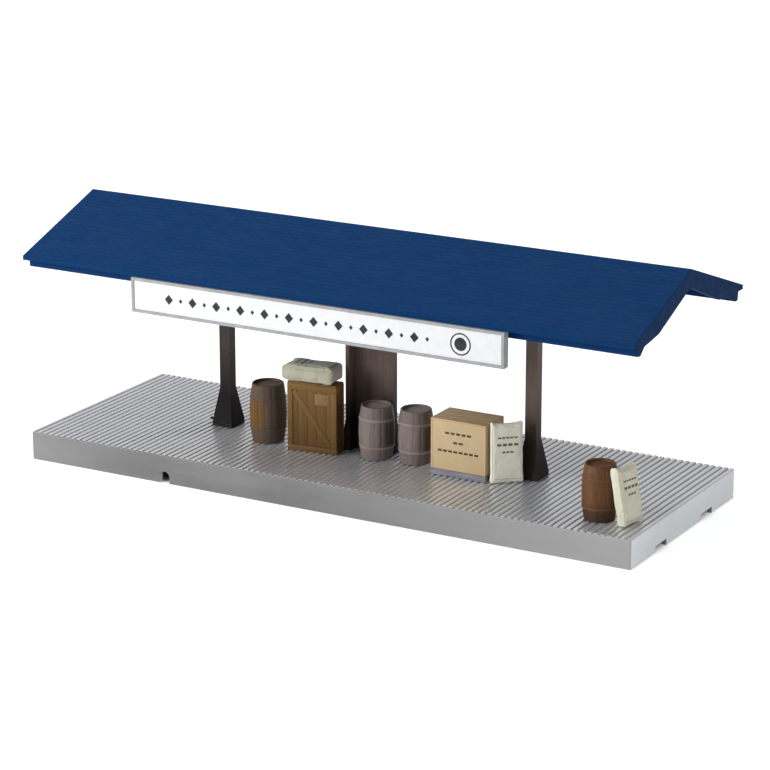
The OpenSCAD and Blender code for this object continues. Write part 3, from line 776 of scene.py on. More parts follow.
def make_platform():
    """The base: rounded deck boards over straight walls, hollow and ribbed below."""
    half_length, half_width, deck_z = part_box("platform_base")[1]
    silver = silver_paint(deck_z / MM, half_length / MM)
    right = sum(corner.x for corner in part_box("right_post")) / 2
    posts = (-right, right)
    pier_at = sum(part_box("pier_screws"), Vector()) / 2
    slab_z = deck_z - SLAB
    bm = bmesh.new()
    add_tray(bm, half_length, half_width, slab_z)
    tray = object_from("platform_tray", bm)
    carve(tray, platform_hollow(half_length, half_width, posts, (pier_at - PIER_BOSS, pier_at + PIER_BOSS)))
    bm = bmesh.new()
    for side in (-1, 1):
        x0, x1 = sorted((side * (half_length + MM), side * (half_length - WALL - 0.01 * MM)))
        for y in (-NOTCH_Y, NOTCH_Y):
            add_box(bm, (x0, y - NOTCH[0] / 2, -MM), (x1, y + NOTCH[0] / 2, NOTCH[1]))
    add_wire_hole(bm, posts[0], -half_width)
    bore_z = slab_z - 0.1 * MM
    for x in posts:
        add_rod(bm, x, 0, -MM, bore_z, BORE_R, 24)
        for dx in (-SCREW_DX, SCREW_DX):
            add_rod(bm, x + dx, 0, -MM, bore_z, SCREW_HOLE_R, 20)
    for dx in (-PIER_SCREW_DX, PIER_SCREW_DX):
        add_rod(bm, pier_at.x + dx, pier_at.y, -MM, bore_z, SCREW_HOLE_R, 20)
    carve(tray, bm)
    bm = bmesh_of(tray)
    add_deck(bm, half_length, half_width, deck_z, slab_z)
    bm.faces.layers.float.new("tone")
    add_object("platform_moulding", bm, silver, "platform", "platform_silver", "platform_base", sharp=24)


def add_wire_hole(bm, x, wall_y):
    """A slot with a round top, through the front wall."""
    width, height = WIRE_HOLE
    radius = width / 2
    turn = [pi * k / 16 for k in range(17)]
    outline = [(x - radius, -MM), (x + radius, -MM)]
    outline += [(x + radius * cos(a), height - radius + radius * sin(a)) for a in turn]
    depths = (wall_y - MM, wall_y + WALL + 0.01 * MM)
    rings = [[bm.verts.new((px, y, pz)) for px, pz in outline] for y in depths]
    bmesh.ops.recalc_face_normals(bm, faces=add_prism(bm, rings))


# ---------------------------------------------------------------- roof tiles

ROOF_DROP = 19.7 * MM
TILE_ROW = 2.65 * MM
TILE_WIDTH = 6.35 * MM
TILE_GAP = 0.22 * MM
TILE_THICK = 0.09 * MM
TILE_THIN = 0.03 * MM


def add_tile(bm, place, x0, x1, s0, s1, tone):
    """One tile of a course on a slope: thick at its lower edge s1, thin at its upper edge s0."""
    corners = ((x0, s0, TILE_THIN), (x1, s0, TILE_THIN), (x1, s1, TILE_THICK), (x0, s1, TILE_THICK))
    below = [bm.verts.new(place(x, s, 0)) for x, s, _ in corners]
    above = [bm.verts.new(place(*corner)) for corner in corners]
    set_tone(bm, add_prism(bm, (below, above)), tone)


def tile_roof(blue):
    """Courses of moulded tiles on both slopes, staggered by half a tile, under a folded ridge cap."""
    rng = random.Random(SEED)
    low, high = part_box("roof_shell")
    run = high.y
    length = hypot(run, ROOF_DROP)
    down = Vector((0, run, -ROOF_DROP)) / length
    out = Vector((0, ROOF_DROP, run)) / length
    margin = 0.3 * MM
    rows = int((length - margin) / TILE_ROW)
    start = length - margin - rows * TILE_ROW
    bm = new_bmesh()
    for side in (-1, 1):
        flip = Vector((1, side, 1))

        def place(x, s, lift):
            return (Vector((x, 0, high.z)) + down * s + out * lift) * flip

        for row in range(rows):
            s0 = start + row * TILE_ROW
            x = low.x + margin - (TILE_WIDTH / 2 if row % 2 else 0)
            while x < high.x - margin:
                x0 = max(x, low.x + margin)
                x1 = min(x + TILE_WIDTH - TILE_GAP, high.x - margin)
                if x1 - x0 > 0.5 * MM:
                    add_tile(bm, place, x0, x1, s0, s0 + TILE_ROW - 0.02 * MM, rng.random())
                x += TILE_WIDTH
        add_tile(bm, place, low.x + margin, high.x - margin, 0.02 * MM, start + 0.4 * MM, 0.5)
    add_object("roof_tiles", bm, blue, "roof", "roof_blue", sharp=10)


# ---------------------------------------------------------------- sign boards

MARK_THICK = 0.07 * MM
MARK_SUNK = 0.05 * MM
LOZENGE_PITCH = 6.2 * MM
LOZENGES = 22


def add_flat(bm, outline, hole=None):
    """A thin raised shape on the XZ plane that faces -Y: a plate, or a ring round the hole's outline."""
    front, back = [[bm.verts.new((x, y, z)) for x, z in outline] for y in (-MARK_THICK, MARK_SUNK)]
    if not hole:
        set_tone(bm, add_prism(bm, (front, back)), 0.5)
        return
    near, far = [[bm.verts.new((x, y, z)) for x, z in hole] for y in (-MARK_THICK, MARK_SUNK)]
    for low, high in ((front, back), (back, far), (far, near), (near, front)):
        set_tone(bm, bridge(bm, low, high), 0.5)


def block_outline(x0, x1, z, half_h):
    return [(x0, z - half_h), (x1, z - half_h), (x1, z + half_h), (x0, z + half_h)]


def circle_outline(x, radius):
    turn = [2 * pi * k / 48 for k in range(48)]
    return [(x + radius * cos(a), radius * sin(a)) for a in turn]


def make_sign_marks():
    """Plain ornament on both boards: a row of lozenges and a ring round a disc."""
    ink = moulded_paint("sign_ink", (38, 40, 42), (54, 56, 58), roughness=0.5, wear=0.0)
    low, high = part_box("front_sign_board")
    half_l = (high.x - low.x) / 2
    badge = half_l * 0.79
    middle = Matrix.Translation(((low.x + high.x) / 2, low.y, (low.z + high.z) / 2))
    for side, turn in (("front", 0.0), ("rear", pi)):
        bm = new_bmesh()
        for k in range(LOZENGES):
            x = -half_l * 0.8 + k * LOZENGE_PITCH
            wide, tall = (0.9 * MM, 1.1 * MM) if k % 2 else (2.1 * MM, 2.3 * MM)
            add_flat(bm, [(x - wide, 0), (x, -tall), (x + wide, 0), (x, tall)])
        add_flat(bm, circle_outline(badge, 4.9 * MM), circle_outline(badge, 4.3 * MM))
        add_flat(bm, circle_outline(badge, 2.9 * MM))
        bm.transform(Matrix.Rotation(turn, 4, "Z") @ middle)
        add_object(side + "_sign_marks", bm, ink, "roof", "sign_grey", sharp=30)


# ---------------------------------------------------------------- barrels

STAVES = 16
PER_STAVE = 8
STAVE_GROOVE = 0.16 * MM
HEAD_BOARDS = 6

# Looks of the barrels: wood at the ends, low and high tones between the hoops, head boards, hoops, and
# settings for the staves' paint, among them the colour painted on the side facing +X as painted shade
ORANGE = dict(wood=((84, 72, 62), (98, 68, 28), (118, 82, 38)),
              head=((94, 78, 66), (116, 98, 84), (146, 128, 112)),
              hoop=((84, 66, 52), (98, 80, 66)), wear=dict(soft=2.4, painted_shade=(84, 76, 66)))
GREY = dict(wood=((118, 106, 102), (116, 103, 98), (140, 127, 122)),
            head=((146, 134, 128), (174, 162, 156), (196, 186, 180)),
            hoop=((124, 112, 108), (156, 145, 140)),
            wear=dict(roughness=0.4, painted_shade=(56, 50, 48), painted_shade_where=(0.55, 0.95)))
BROWN = dict(wood=((58, 38, 30), (94, 60, 34), (116, 78, 48)),
             head=((112, 72, 44), (140, 96, 62), (170, 124, 88)),
             hoop=((92, 60, 40), (108, 76, 54)), wear=dict(soft=3.0, roughness=0.42, upper_share=0.0))

# Each piece with its look, the name of its wood and the name of its slot
BARRELS = (("tall_barrel", ORANGE, "barrel_orange", "barrel_orange"),
           ("left_keg", GREY, "left_keg_wood", "keg_grey"),
           ("right_keg", GREY, "right_keg_wood", "keg_grey"),
           ("end_barrel", BROWN, "barrel_brown", "barrel_brown"))


def stave_drop(column):
    """How far the surface drops at this column: a V groove between each two staves."""
    place = column % PER_STAVE
    near = min(place, PER_STAVE - place)
    return STAVE_GROOVE * {0: 1.0, 1: 0.25}.get(near, 0.0)


def barrel_radius(share, belly, end):
    """Barrel radius at a share of its height, as a parabola from end to belly."""
    return belly - (belly - end) * (2 * share - 1) ** 2


def add_staves(bm, centre, height, belly, end, rng):
    """The wall of staves with a rounded rim at both ends, sunk round the heads."""
    steps = 22
    rim, sink, lip = 0.9 * MM, 1.3 * MM, 0.18 * MM
    side = [(barrel_radius(k / steps, belly, end), height * k / steps) for k in range(steps + 1)]
    side[0] = (side[0][0] - lip, 0.0)
    side[-1] = (side[-1][0] - lip, height)
    side.insert(1, (barrel_radius(0.01, belly, end), lip))
    side.insert(-1, (barrel_radius(0.99, belly, end), height - lip))
    inner = end - rim
    bottom = [(inner - 0.3 * MM, sink), (inner, sink), (inner + 0.25 * MM, 0.1 * MM), (inner + 0.4 * MM, 0.0)]
    top = [(r, height - z) for r, z in reversed(bottom)]
    outer = range(len(bottom), len(bottom) + len(side))
    tones = [rng.random() for _ in range(STAVES)]
    add_revolved(bm, centre, bottom + side + top, STAVES * PER_STAVE,
                 drop_at=lambda i, j: stave_drop(i) if j in outer else 0.0,
                 tones=[tone for tone in tones for _ in range(PER_STAVE)])


def add_hoops(bm, centre, height, belly, end, _):
    """Two flat bands with eased edges, each sloped as the staves below it are."""
    half, proud, buried = 0.55 * MM, 0.2 * MM, 0.5 * MM
    for z in [share * height for share in HOOP_PLACES]:
        low, high = z - half, z + half
        lower, upper = [barrel_radius(edge / height, belly, end) for edge in (low, high)]
        section = [(lower - buried, low), (lower + 0.5 * proud, low), (lower + proud, z - 0.7 * half),
                   (upper + proud, z + 0.7 * half), (upper + 0.5 * proud, high), (upper - buried, high)]
        add_revolved(bm, centre, section, 96, closed=True)


def add_heads(bm, centre, height, _, end, rng):
    """Board discs set into both ends, cut from a round plate."""
    radius = end - 0.95 * MM
    for z0, z1 in ((1.1 * MM, 1.6 * MM), (height - 1.6 * MM, height - 1.1 * MM)):
        for y0, y1 in split(-radius, radius, HEAD_BOARDS, 0.06 * MM, 0.06 * MM):
            add_head_board(bm, centre, radius, y0, y1, z0, z1, rng.random())


def add_head_board(bm, centre, radius, y0, y1, z0, z1, tone):
    """The strip of a disc between y0 and y1, as a board."""
    strip = [y0 + (y1 - y0) * k / 8 for k in range(9)]
    edge = [(sqrt(max(radius ** 2 - y ** 2, (0.02 * radius) ** 2)), y) for y in strip]
    outline = edge + [(-x, y) for x, y in reversed(edge)]
    rings = [[bm.verts.new(centre + Vector((x, y, z))) for x, y in outline] for z in (z0, z1)]
    set_tone(bm, add_prism(bm, rings), tone)


def make_barrels():
    """Two brown barrels and two grey kegs: staves, hoops and sunk heads made of boards."""
    rng = random.Random(SEED + 1)
    for node, look, wood_name, slot in BARRELS:
        low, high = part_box(node)
        name = wood_name.removesuffix("_wood")
        staves = banded_barrel_paint(wood_name, *look["wood"], low.z / MM, high.z / MM, **look["wear"])
        heads = wood_paint(name + "_head", *look["head"], along="X")
        hoops = moulded_paint(name + "_hoop", *look["hoop"])
        belly = (high.x - low.x) / 2
        centre = Vector(((low.x + high.x) / 2, (low.y + high.y) / 2, low.z))
        shape = (centre, high.z - low.z, belly, belly * BARREL_END_SHARE, rng)
        body = NODES[node]["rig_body"]
        add_part(node + "_staves", add_staves, shape, staves, body, slot, node, sharp=40)
        add_part(node + "_hoops", add_hoops, shape, hoops, body, slot, sharp=50)
        add_part(node + "_heads", add_heads, shape, heads, body, slot, sharp=40)


# ---------------------------------------------------------------- crate

CRATE_RIM = 2.6 * MM
CRATE_SINK = 0.45 * MM
CRATE_TOP = 0.95 * MM
CRATE_BRACE = 2.2 * MM
# Colour of the painted shade at the crate's foot
CRATE_FOOT_SHADE = (62, 44, 20)
BOARD_EDGE = 0.16 * MM


def turned_size(node, yaw):
    """Length and depth of an upright block that stands turned by yaw, from the box round it."""
    low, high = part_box(node)
    wide, deep = high.x - low.x, high.y - low.y
    c, s = cos(yaw), sin(yaw)
    scale = c * c - s * s
    return (wide * c - deep * s) / scale, (deep * c - wide * s) / scale, high.z - low.z


def standing_at(node, yaw=0.0):
    """Matrix to a block's own axes: origin in the middle of its underside, turned by yaw."""
    low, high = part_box(node)
    middle = (low + high) / 2
    return Matrix.Translation((middle.x, middle.y, low.z)) @ Matrix.Rotation(yaw, 4, "Z")


def both_sides(at):
    """The same place as seen from the front and from the back."""
    return [at @ Matrix.Rotation(turn, 4, "Z") for turn in (0.0, pi)]


def add_crate_planks(bm, at, length, depth, height, rng):
    """Upright planks of the two long sides and the two ends, and the boards of the top."""
    half, side_y = length / 2 - CRATE_SINK, depth / 2 - CRATE_SINK
    for x0, x1 in split(-half, half, 5, 0.025 * MM, 0.025 * MM):
        add_board(bm, at, (x0, -side_y, 0.3 * MM), (x1, side_y, height - 0.35 * MM), BOARD_EDGE, rng.random())
    for side in (-1, 1):
        x0, x1 = sorted((side * half, side * (half - MM)))
        for y0, y1 in split(MM - depth / 2, depth / 2 - MM, 2, after=0.1 * MM):
            add_board(bm, at, (x0, y0, 0.3 * MM), (x1, y1, height - 0.4 * MM), BOARD_EDGE, rng.random())
    top_x, top_y = length / 2 - 0.1 * MM, depth / 2 - 0.1 * MM
    for y0, y1 in split(-top_y, top_y, 2, after=0.08 * MM):
        add_board(bm, at, (-top_x, y0, height - 0.9 * MM), (top_x, y1, height), BOARD_EDGE, rng.random())


def add_crate_frame(bm, at, length, depth, height, rng):
    """Battens round the long sides and along the ends."""
    thick, edge = CRATE_SINK + 0.3 * MM, BOARD_EDGE * 1.3
    half, top = length / 2, height - CRATE_TOP
    low_z, high_z = CRATE_RIM + 0.05 * MM, top - CRATE_RIM
    battens = ((-half, half, 0.0, CRATE_RIM), (-half, half, top - CRATE_RIM + 0.05 * MM, top),
               (-half, CRATE_RIM - half, low_z, high_z), (half - CRATE_RIM, half, low_z, high_z))
    for side in (-1, 1):
        y0, y1 = sorted((side * depth / 2, side * (depth / 2 - thick)))
        for x0, x1, z0, z1 in battens:
            add_board(bm, at, (x0, y0, z0), (x1, y1, z1), edge, rng.random())
        x0, x1 = sorted((side * half, side * (half - thick)))
        y0, y1 = thick - depth / 2, depth / 2 - thick
        for z0, z1 in ((0.0, 2.4 * MM), (height - 3.4 * MM, top)):
            add_board(bm, at, (x0, y0, z0), (x1, y1, z1), BOARD_EDGE, rng.random())


def add_crate_brace(bm, at, length, depth, height, rng):
    """The diagonal batten of each long side, which falls to the right as seen from outside."""
    low_z, high_z = CRATE_RIM, height - CRATE_RIM - CRATE_TOP
    rise, reach = high_z - low_z, length - 2 * CRATE_RIM
    x, z, edge = hypot(rise, reach) / 2 - 0.9 * MM, CRATE_BRACE / 2, BOARD_EDGE * 1.3
    slope = Matrix.Rotation(atan2(rise, reach), 4, "Y")
    slope = Matrix.Translation((0, 0, (low_z + high_z) / 2)) @ slope
    y0, y1 = 0.2 * MM - depth / 2, MM - depth / 2
    for place in both_sides(at):
        add_board(bm, place @ slope, (-x, y0, -z), (x, y1, z), edge, rng.random())


def add_crate_plate(bm, at, length, depth, height, _):
    """The blank label plate in the upper right corner of each long side."""
    x1, z1 = length / 2 - CRATE_RIM - 1.2 * MM, height - CRATE_RIM - 2.2 * MM
    y0, y1 = 0.25 * MM - depth / 2, MM - depth / 2
    for place in both_sides(at):
        add_board(bm, place, (x1 - 7 * MM, y0, z1 - 5 * MM), (x1, y1, z1), 0.2 * MM, 0.9)


def add_crate_nails(bm, at, length, depth, height, _):
    """Small domed nail heads, two in each corner of both long sides."""
    x, y, margin = length / 2 - CRATE_RIM / 2, -depth / 2 - 0.02 * MM, CRATE_RIM / 2
    dome = Matrix.Rotation(pi / 2, 4, "X") @ Matrix.Diagonal((1, 1, 0.45, 1))
    points = [(side * x + dx * MM, y, z) for side in (-1, 1) for dx in (-0.6, 0.6)
              for z in (margin, height - margin - CRATE_TOP)]
    for place in both_sides(at):
        for point in points:
            bmesh.ops.create_uvsphere(bm, u_segments=10, v_segments=6, radius=0.22 * MM,
                                      matrix=place @ Matrix.Translation(point) @ dome)


def darken_down(p, top_z, foot_z, share, colour):
    """Lets a paint run into a darker colour towards the foot of its piece, as painted shade."""
    down = p.spread(p.axis("Z"), top_z, foot_z, 0.0, share)
    p.set("Base Color", p.mix(down, p.colour_so_far(), colour))


def make_crate():
    """A crate of planks in a frame of battens, with a brace, a plate and nails on its long sides."""
    low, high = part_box("slat_crate")
    planks = wood_paint("crate_brown", (118, 84, 36), (136, 101, 48), (160, 124, 74))
    rails = wood_paint("crate_rail", (122, 90, 44), (144, 109, 58), (170, 136, 88), along="X")
    plate = wood_paint("crate_plate", (138, 108, 66), (156, 126, 84), (184, 156, 112), along="X")
    nails = moulded_paint("crate_nail", (84, 70, 52), (120, 104, 82), roughness=0.4, metallic=0.6)
    # Painted shade: planks and battens darken towards the crate's foot.
    darken_down(planks, high.z / MM, low.z / MM, 0.55, CRATE_FOOT_SHADE)
    darken_down(rails, high.z / MM, low.z / MM, 0.5, CRATE_FOOT_SHADE)
    at, size = standing_at("slat_crate", CRATE_YAW), turned_size("slat_crate", CRATE_YAW)
    shape = (at, *size, random.Random(SEED + 2))
    add_part("crate_planks", add_crate_planks, shape, planks, "crate", "crate_brown", "slat_crate")
    add_part("crate_frame", add_crate_frame, shape, rails, "crate", "crate_brown")
    add_part("crate_brace", add_crate_brace, shape, rails, "crate", "crate_brown")
    add_part("crate_plate", add_crate_plate, shape, plate, "crate", "crate_brown")
    add_part("crate_nails", add_crate_nails, shape, nails, "crate", "crate_brown")


# ---------------------------------------------------------------- tan box

LID_THICK = 0.9 * MM
LID_BOARDS = 4
BOX_POST = 0.9 * MM

# Rows of plain dashes: height share, dash height in millimetres, count and share of the width
BOX_PRINT = ((0.74, 0.95, 5, 0.5), (0.56, 0.95, 2, 0.2), (0.38, 0.95, 8, 0.76))
SACK_PRINT = ((0.5, 0.7, 5, 0.62), (0.27, 1.1, 4, 0.68), (0.03, 0.8, 3, 0.36))


def add_box_body(bm, at, half_x, half_y, height, _):
    x, y, z = half_x - 0.12 * MM, half_y - 0.12 * MM, height - LID_THICK - 0.08 * MM
    add_board(bm, at, (-x, -y, 0.0), (x, y, z), 0.3 * MM, segments=3)


def add_box_corners(bm, at, half_x, half_y, height, rng):
    for sx in (-1, 1):
        for sy in (-1, 1):
            x0, x1 = sorted((sx * half_x, sx * (half_x - BOX_POST)))
            y0, y1 = sorted((sy * half_y, sy * (half_y - BOX_POST)))
            z1 = height - LID_THICK - 0.05 * MM
            add_board(bm, at, (x0, y0, 0.0), (x1, y1, z1), 0.14 * MM, rng.random())


def add_box_lid(bm, at, half_x, half_y, height, rng):
    gap = 0.04 * MM
    for k, (y0, y1) in enumerate(split(-half_y, half_y, LID_BOARDS)):
        y0 += gap if k else 0
        y1 -= gap if k < LID_BOARDS - 1 else 0
        add_board(bm, at, (-half_x, y0, height - LID_THICK), (half_x, y1, height), 0.14 * MM, rng.random())


def add_box_print(bm, at, half_x, half_y, height, _):
    """Three rows of plain dashes, raised a hair on the front panel."""
    for share, tall, count, width in BOX_PRINT:
        for x0, x1 in dashes(half_x * width, count):
            add_flat(bm, block_outline(x0, x1, height * share, tall * MM / 2))
    bm.transform(at @ Matrix.Translation((0, -half_y + 0.12 * MM, 0)))


def make_tan_box():
    """The pale box: panels between slim corner posts, under a lid that stands a hair proud."""
    low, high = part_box("tan_box")
    panel = wood_paint("box_tan", (222, 195, 152), (226, 199, 157), (238, 218, 184),
                       roughness=0.5, along="X")
    lid = wood_paint("box_lid", (218, 182, 130), (234, 198, 146), (242, 214, 170),
                     roughness=0.5, along="X")
    ink = moulded_paint("box_ink", (64, 52, 36), (88, 72, 50), roughness=0.6, wear=0.0)
    half_x, half_y, _ = (high - low) / 2
    shape = (standing_at("tan_box"), half_x, half_y, high.z - low.z, random.Random(SEED + 3))
    add_part("box_body", add_box_body, shape, panel, "box", "box_tan", "tan_box")
    add_part("box_corners", add_box_corners, shape, panel, "box", "box_tan")
    add_part("box_lid", add_box_lid, shape, lid, "box", "box_tan")
    add_part("box_print", add_box_print, shape, ink, "box", "box_tan", sharp=30)


# ---------------------------------------------------------------- sacks

# The cloth is simulated this many times larger than the model, for this many frames
CLOTH_SCALE = 20
CLOTH_FRAMES = 20
CLOTH = {"quality": 6, "mass": 0.3, "tension_stiffness": 12, "compression_stiffness": 12,
         "bending_stiffness": 0.4, "shrink_min": -0.02, "use_pressure": True, "uniform_pressure_force": 2.5}
CLOTH_REACH = 0.45 * MM
SACK_BULGE = 0.02
DENTS = 26


def mesh_points(obj):
    return np.array([v.co for v in obj.data.vertices], float)


def set_points(obj, points):
    obj.data.vertices.foreach_set("co", points.astype(np.float32).ravel())
    obj.data.update()


def principal_axes(node):
    """A CAD solid's own axes as columns, longest extent first, with its middle and half extents."""
    points = mesh_points(NODES[node])
    _, axes = np.linalg.eigh(np.cov((points - points.mean(0)).T))
    axes = axes[:, ::-1]
    spans = points @ axes
    low, high = spans.min(0), spans.max(0)
    return axes, axes @ ((low + high) / 2), (high - low) / 2


def sack_matrix(axes, middle, long_towards, face_towards):
    """Matrix whose Z runs up the sack's length, X across it and -Y out of its shown face."""
    up, face = Vector(axes[:, 0]), Vector(axes[:, 2])
    if up.dot(long_towards) < 0:
        up.negate()
    if face.dot(face_towards) < 0:
        face.negate()
    across = (-face).cross(up).normalized()
    turn = Matrix((across, -face, up)).transposed().to_4x4()
    return Matrix.Translation(Vector(middle)) @ turn


def sack_start(half, corner, ears, droop):
    """Closed start shape: a block with soft edges and full sides, eared corners and a sagging top edge."""
    bm = bmesh.new()
    bmesh.ops.create_cube(bm, size=2.0)
    bmesh.ops.subdivide_edges(bm, edges=bm.edges, cuts=27, use_grid_fill=True)
    inner = half - Vector((corner, corner, corner))
    for v in bm.verts:
        u, _, h = v.co
        point = Vector([c * r for c, r in zip(v.co, half)])
        core = Vector([max(-r, min(r, c)) for c, r in zip(point, inner)])
        off = point - core
        if off.length > 1e-9:
            point = core + off.normalized() * min(corner, off.length * 1.2)
        top, bottom = max(0.0, h) ** 8, max(0.0, -h) ** 8
        side = abs(u) ** 8
        full, flat = 1 - h * h, 1 - u * u
        point.x *= 1 + SACK_BULGE * full + ears * side * (top + 0.4 * bottom)
        point.y *= 1 - 0.3 * top - 0.12 * bottom + 2.5 * SACK_BULGE * full * flat
        point.z += half.z * (1.1 * ears * side * top - droop * top * flat)
        v.co = point
    bmesh.ops.recalc_face_normals(bm, faces=bm.faces)
    return bm


def apply_modifiers(obj):
    """Replaces the object's mesh by the one its modifiers give now."""
    bpy.context.view_layer.update()
    graph = bpy.context.evaluated_depsgraph_get()
    mesh = bpy.data.meshes.new_from_object(obj.evaluated_get(graph), depsgraph=graph)
    obj.modifiers.clear()
    obj.data = mesh


def apply_modifier(obj, kind, **settings):
    modifier = obj.modifiers.new("made", kind)
    for key, value in settings.items():
        setattr(modifier, key, value)
    apply_modifiers(obj)


def crumple(obj, rng, depth, reach):
    """Soft random dents, so that the cloth isn't evenly tight when it is blown up."""
    points = mesh_points(obj)
    normals = np.array([v.normal for v in obj.data.vertices], float)
    push = np.zeros(len(points))
    for _ in range(DENTS):
        middle = points[rng.integers(len(points))]
        size = reach * rng.uniform(0.1, 0.3)
        stretch = rng.uniform(0.4, 1.0, 3)
        away = np.linalg.norm((points - middle) / (size * stretch), axis=1)
        push += rng.uniform(-1.0, 0.5) * np.exp(-away ** 2)
    set_points(obj, points + normals * (depth * push)[:, None])


def puff(obj, cap):
    """Blows the cloth up by simulation, and holds each point within cap of where it started."""
    start = mesh_points(obj)
    cloth = obj.modifiers.new("cloth", "CLOTH")
    for key, value in CLOTH.items():
        setattr(cloth.settings, key, value)
    cloth.settings.effector_weights.gravity = 0.0
    cloth.point_cache.frame_start = 1
    cloth.point_cache.frame_end = CLOTH_FRAMES
    scene = bpy.context.scene
    for step in range(1, CLOTH_FRAMES + 1):
        scene.frame_set(step)
    apply_modifiers(obj)
    scene.frame_set(1)
    moved = mesh_points(obj) - start
    far = np.linalg.norm(moved, axis=1, keepdims=True)
    set_points(obj, start + moved * np.minimum(1.0, cap / np.maximum(far, 1e-9)))


def fit_to(obj, half):
    """Scales the mesh so that it fills the box its CAD solid has, about the box's middle."""
    points = mesh_points(obj)
    low, high = points.min(0), points.max(0)
    target = np.array(half) * 2
    set_points(obj, (points - (low + high) / 2) * (target / (high - low)))


def make_sack(node, cloth, seam, thread, long_towards, face_towards, seed, ears, droop):
    """A filled sack: start shape, remesh, cloth simulation, fit, then its seams and stitches."""
    axes, middle, (half_h, half_w, half_t) = principal_axes(node)
    matrix = sack_matrix(axes, middle, long_towards, face_towards)
    unit = CLOTH_SCALE
    half = Vector((half_w * unit, half_t * unit * 0.9, half_h * unit))
    sack = object_from(node + "_cloth", sack_start(half, 0.75 * MM * unit, ears, droop))
    apply_modifier(sack, "REMESH", mode="VOXEL", voxel_size=0.42 * MM * unit)
    crumple(sack, np.random.default_rng(seed), 0.24 * MM * unit, half_h * unit)
    puff(sack, CLOTH_REACH * unit)
    fit_to(sack, (half_w, half_t, half_h))
    apply_modifier(sack, "SUBSURF", levels=1, render_levels=1)
    sack.data.transform(matrix)
    sack.data.materials.append(cloth.material)
    sack.data.shade_smooth()
    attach(sack, node)
    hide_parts(node)
    tree = BVHTree.FromObject(sack, bpy.context.evaluated_depsgraph_get())
    turn = matrix.to_3x3()

    def hit(point, towards):
        """Where a ray in the sack's own axes meets its surface, with the surface's normal."""
        return tree.ray_cast(matrix @ Vector(point), (turn @ Vector(towards)).normalized())[:2]

    shape = (hit, half_w, half_t, half_h)
    add_part(node + "_seams", add_seams, shape, seam, node, "sack_cream", sharp=60)
    add_part(node + "_stitches", add_stitches, shape, thread, node, "sack_cream", sharp=60)
    add_part(node + "_print", add_sack_print, shape, thread, node, "sack_cream", sharp=60)


def add_seams(bm, hit, half_w, half_t, half_h):
    """Raised seams along the face's long edges and over the closed end."""
    clear = 3 * MM
    rays = []
    for side in (-1, 1):
        heights = [half_h * (-0.9 + 1.8 * k / 40) for k in range(41)]
        rays.append([((side * (half_w + clear), -half_t - clear, z), (-side, 1, 0)) for z in heights])
    across = [half_w * (-0.88 + 1.76 * k / 24) for k in range(25)]
    rays.append([((x, 0.0, half_h + clear), (0, 0, -1)) for x in across])
    for line in rays:
        path = [spot for spot, _ in (hit(*ray) for ray in line) if spot is not None]
        if len(path) > 3:
            add_tube(bm, path, 0.13 * MM, sides=6)


def add_stitches(bm, hit, half_w, half_t, half_h):
    """A row of short stitches above the open end."""
    count = 13
    for k in range(count):
        x = half_w * (-0.84 + 1.68 * (k + 0.5) / count)
        path = []
        for step, lift in ((-1, -0.02), (0, 0.05), (1, -0.02)):
            spot, normal = hit((x + step * 0.32 * MM, -half_t * 2, 2.1 * MM - half_h), (0, 1, 0))
            if spot is not None:
                path.append(spot + normal * (lift * MM))
        if len(path) == 3:
            add_tube(bm, path, 0.1 * MM, sides=6)


def add_sack_print(bm, hit, half_w, half_t, half_h):
    """Three rows of plain dashes on the face."""
    for share, tall, count, width in SACK_PRINT:
        for x0, x1 in dashes(half_w * width, count):
            lay_dash(bm, hit, x0, x1, half_h * share, tall * MM / 2, -half_t * 2)


def lay_dash(bm, hit, x0, x1, middle, half_tall, out_y):
    """A thin plain dash laid over the sack's face, sunk a hair into the cloth."""
    rings = []
    for k in range(4):
        x = x0 + (x1 - x0) * k / 3
        ring = [hit((x, out_y, z), (0, 1, 0)) for z in (middle - half_tall, middle, middle + half_tall)]
        if any(spot is None for spot, _ in ring):
            return
        outer, inner = [[spot + normal * (lift * MM) for spot, normal in ring] for lift in (0.07, -0.07)]
        rings.append([bm.verts.new(point) for point in outer + inner[::-1]])
    set_tone(bm, add_prism(bm, rings), 0.5)


def make_sacks():
    """Three sacks, each with its cloth, where its length and its face point, and its ears and droop."""
    # Painted light and shade: the post sack's cloth is a lighter copy of the cream cloth, and the crate
    # sack's a darker copy.
    pale = sack_paint("sack_cream_lit", (243, 242, 218), (255, 253, 238))
    cloth = sack_paint("sack_cream", (220, 219, 194), (244, 241, 220))
    dull = sack_paint("sack_cream_shaded", (176, 174, 152), (204, 201, 180))
    seam = moulded_paint("sack_seam", (196, 194, 168), (216, 212, 188), roughness=0.8, wear=0.0)
    thread = moulded_paint("sack_thread", (96, 92, 72), (122, 116, 92), roughness=0.8, wear=0.0)
    up, front, right, left = [Vector(way) for way in ((0, 0, 1), (0, -1, 0), (1, -0.2, 0.1), (-1, 0, 0))]
    make_sack("post_sack", pale, seam, thread, up, front, SEED + 4, ears=0.02, droop=0.03)
    make_sack("barrel_sack", cloth, seam, thread, up, right, SEED + 5, ears=0.03, droop=0.05)
    make_sack("crate_sack", dull, seam, thread, left, up, SEED + 6, ears=0.05, droop=0.02)


# ---------------------------------------------------------------- lamp cable

CABLE_R = 0.8 * MM
CABLE_BEND = 0.9 * MM
WIRE_R = 0.36 * MM


def straight(start, end, steps):
    """Points from start to end, both included."""
    return [start.lerp(end, k / steps) for k in range(steps + 1)]


def quarter(centre, start, end, radius):
    """Points on a quarter turn about centre, from direction start to direction end."""
    turn = [pi / 2 * k / 8 for k in range(1, 9)]
    return [centre + radius * (cos(a) * start + sin(a) * end) for a in turn]


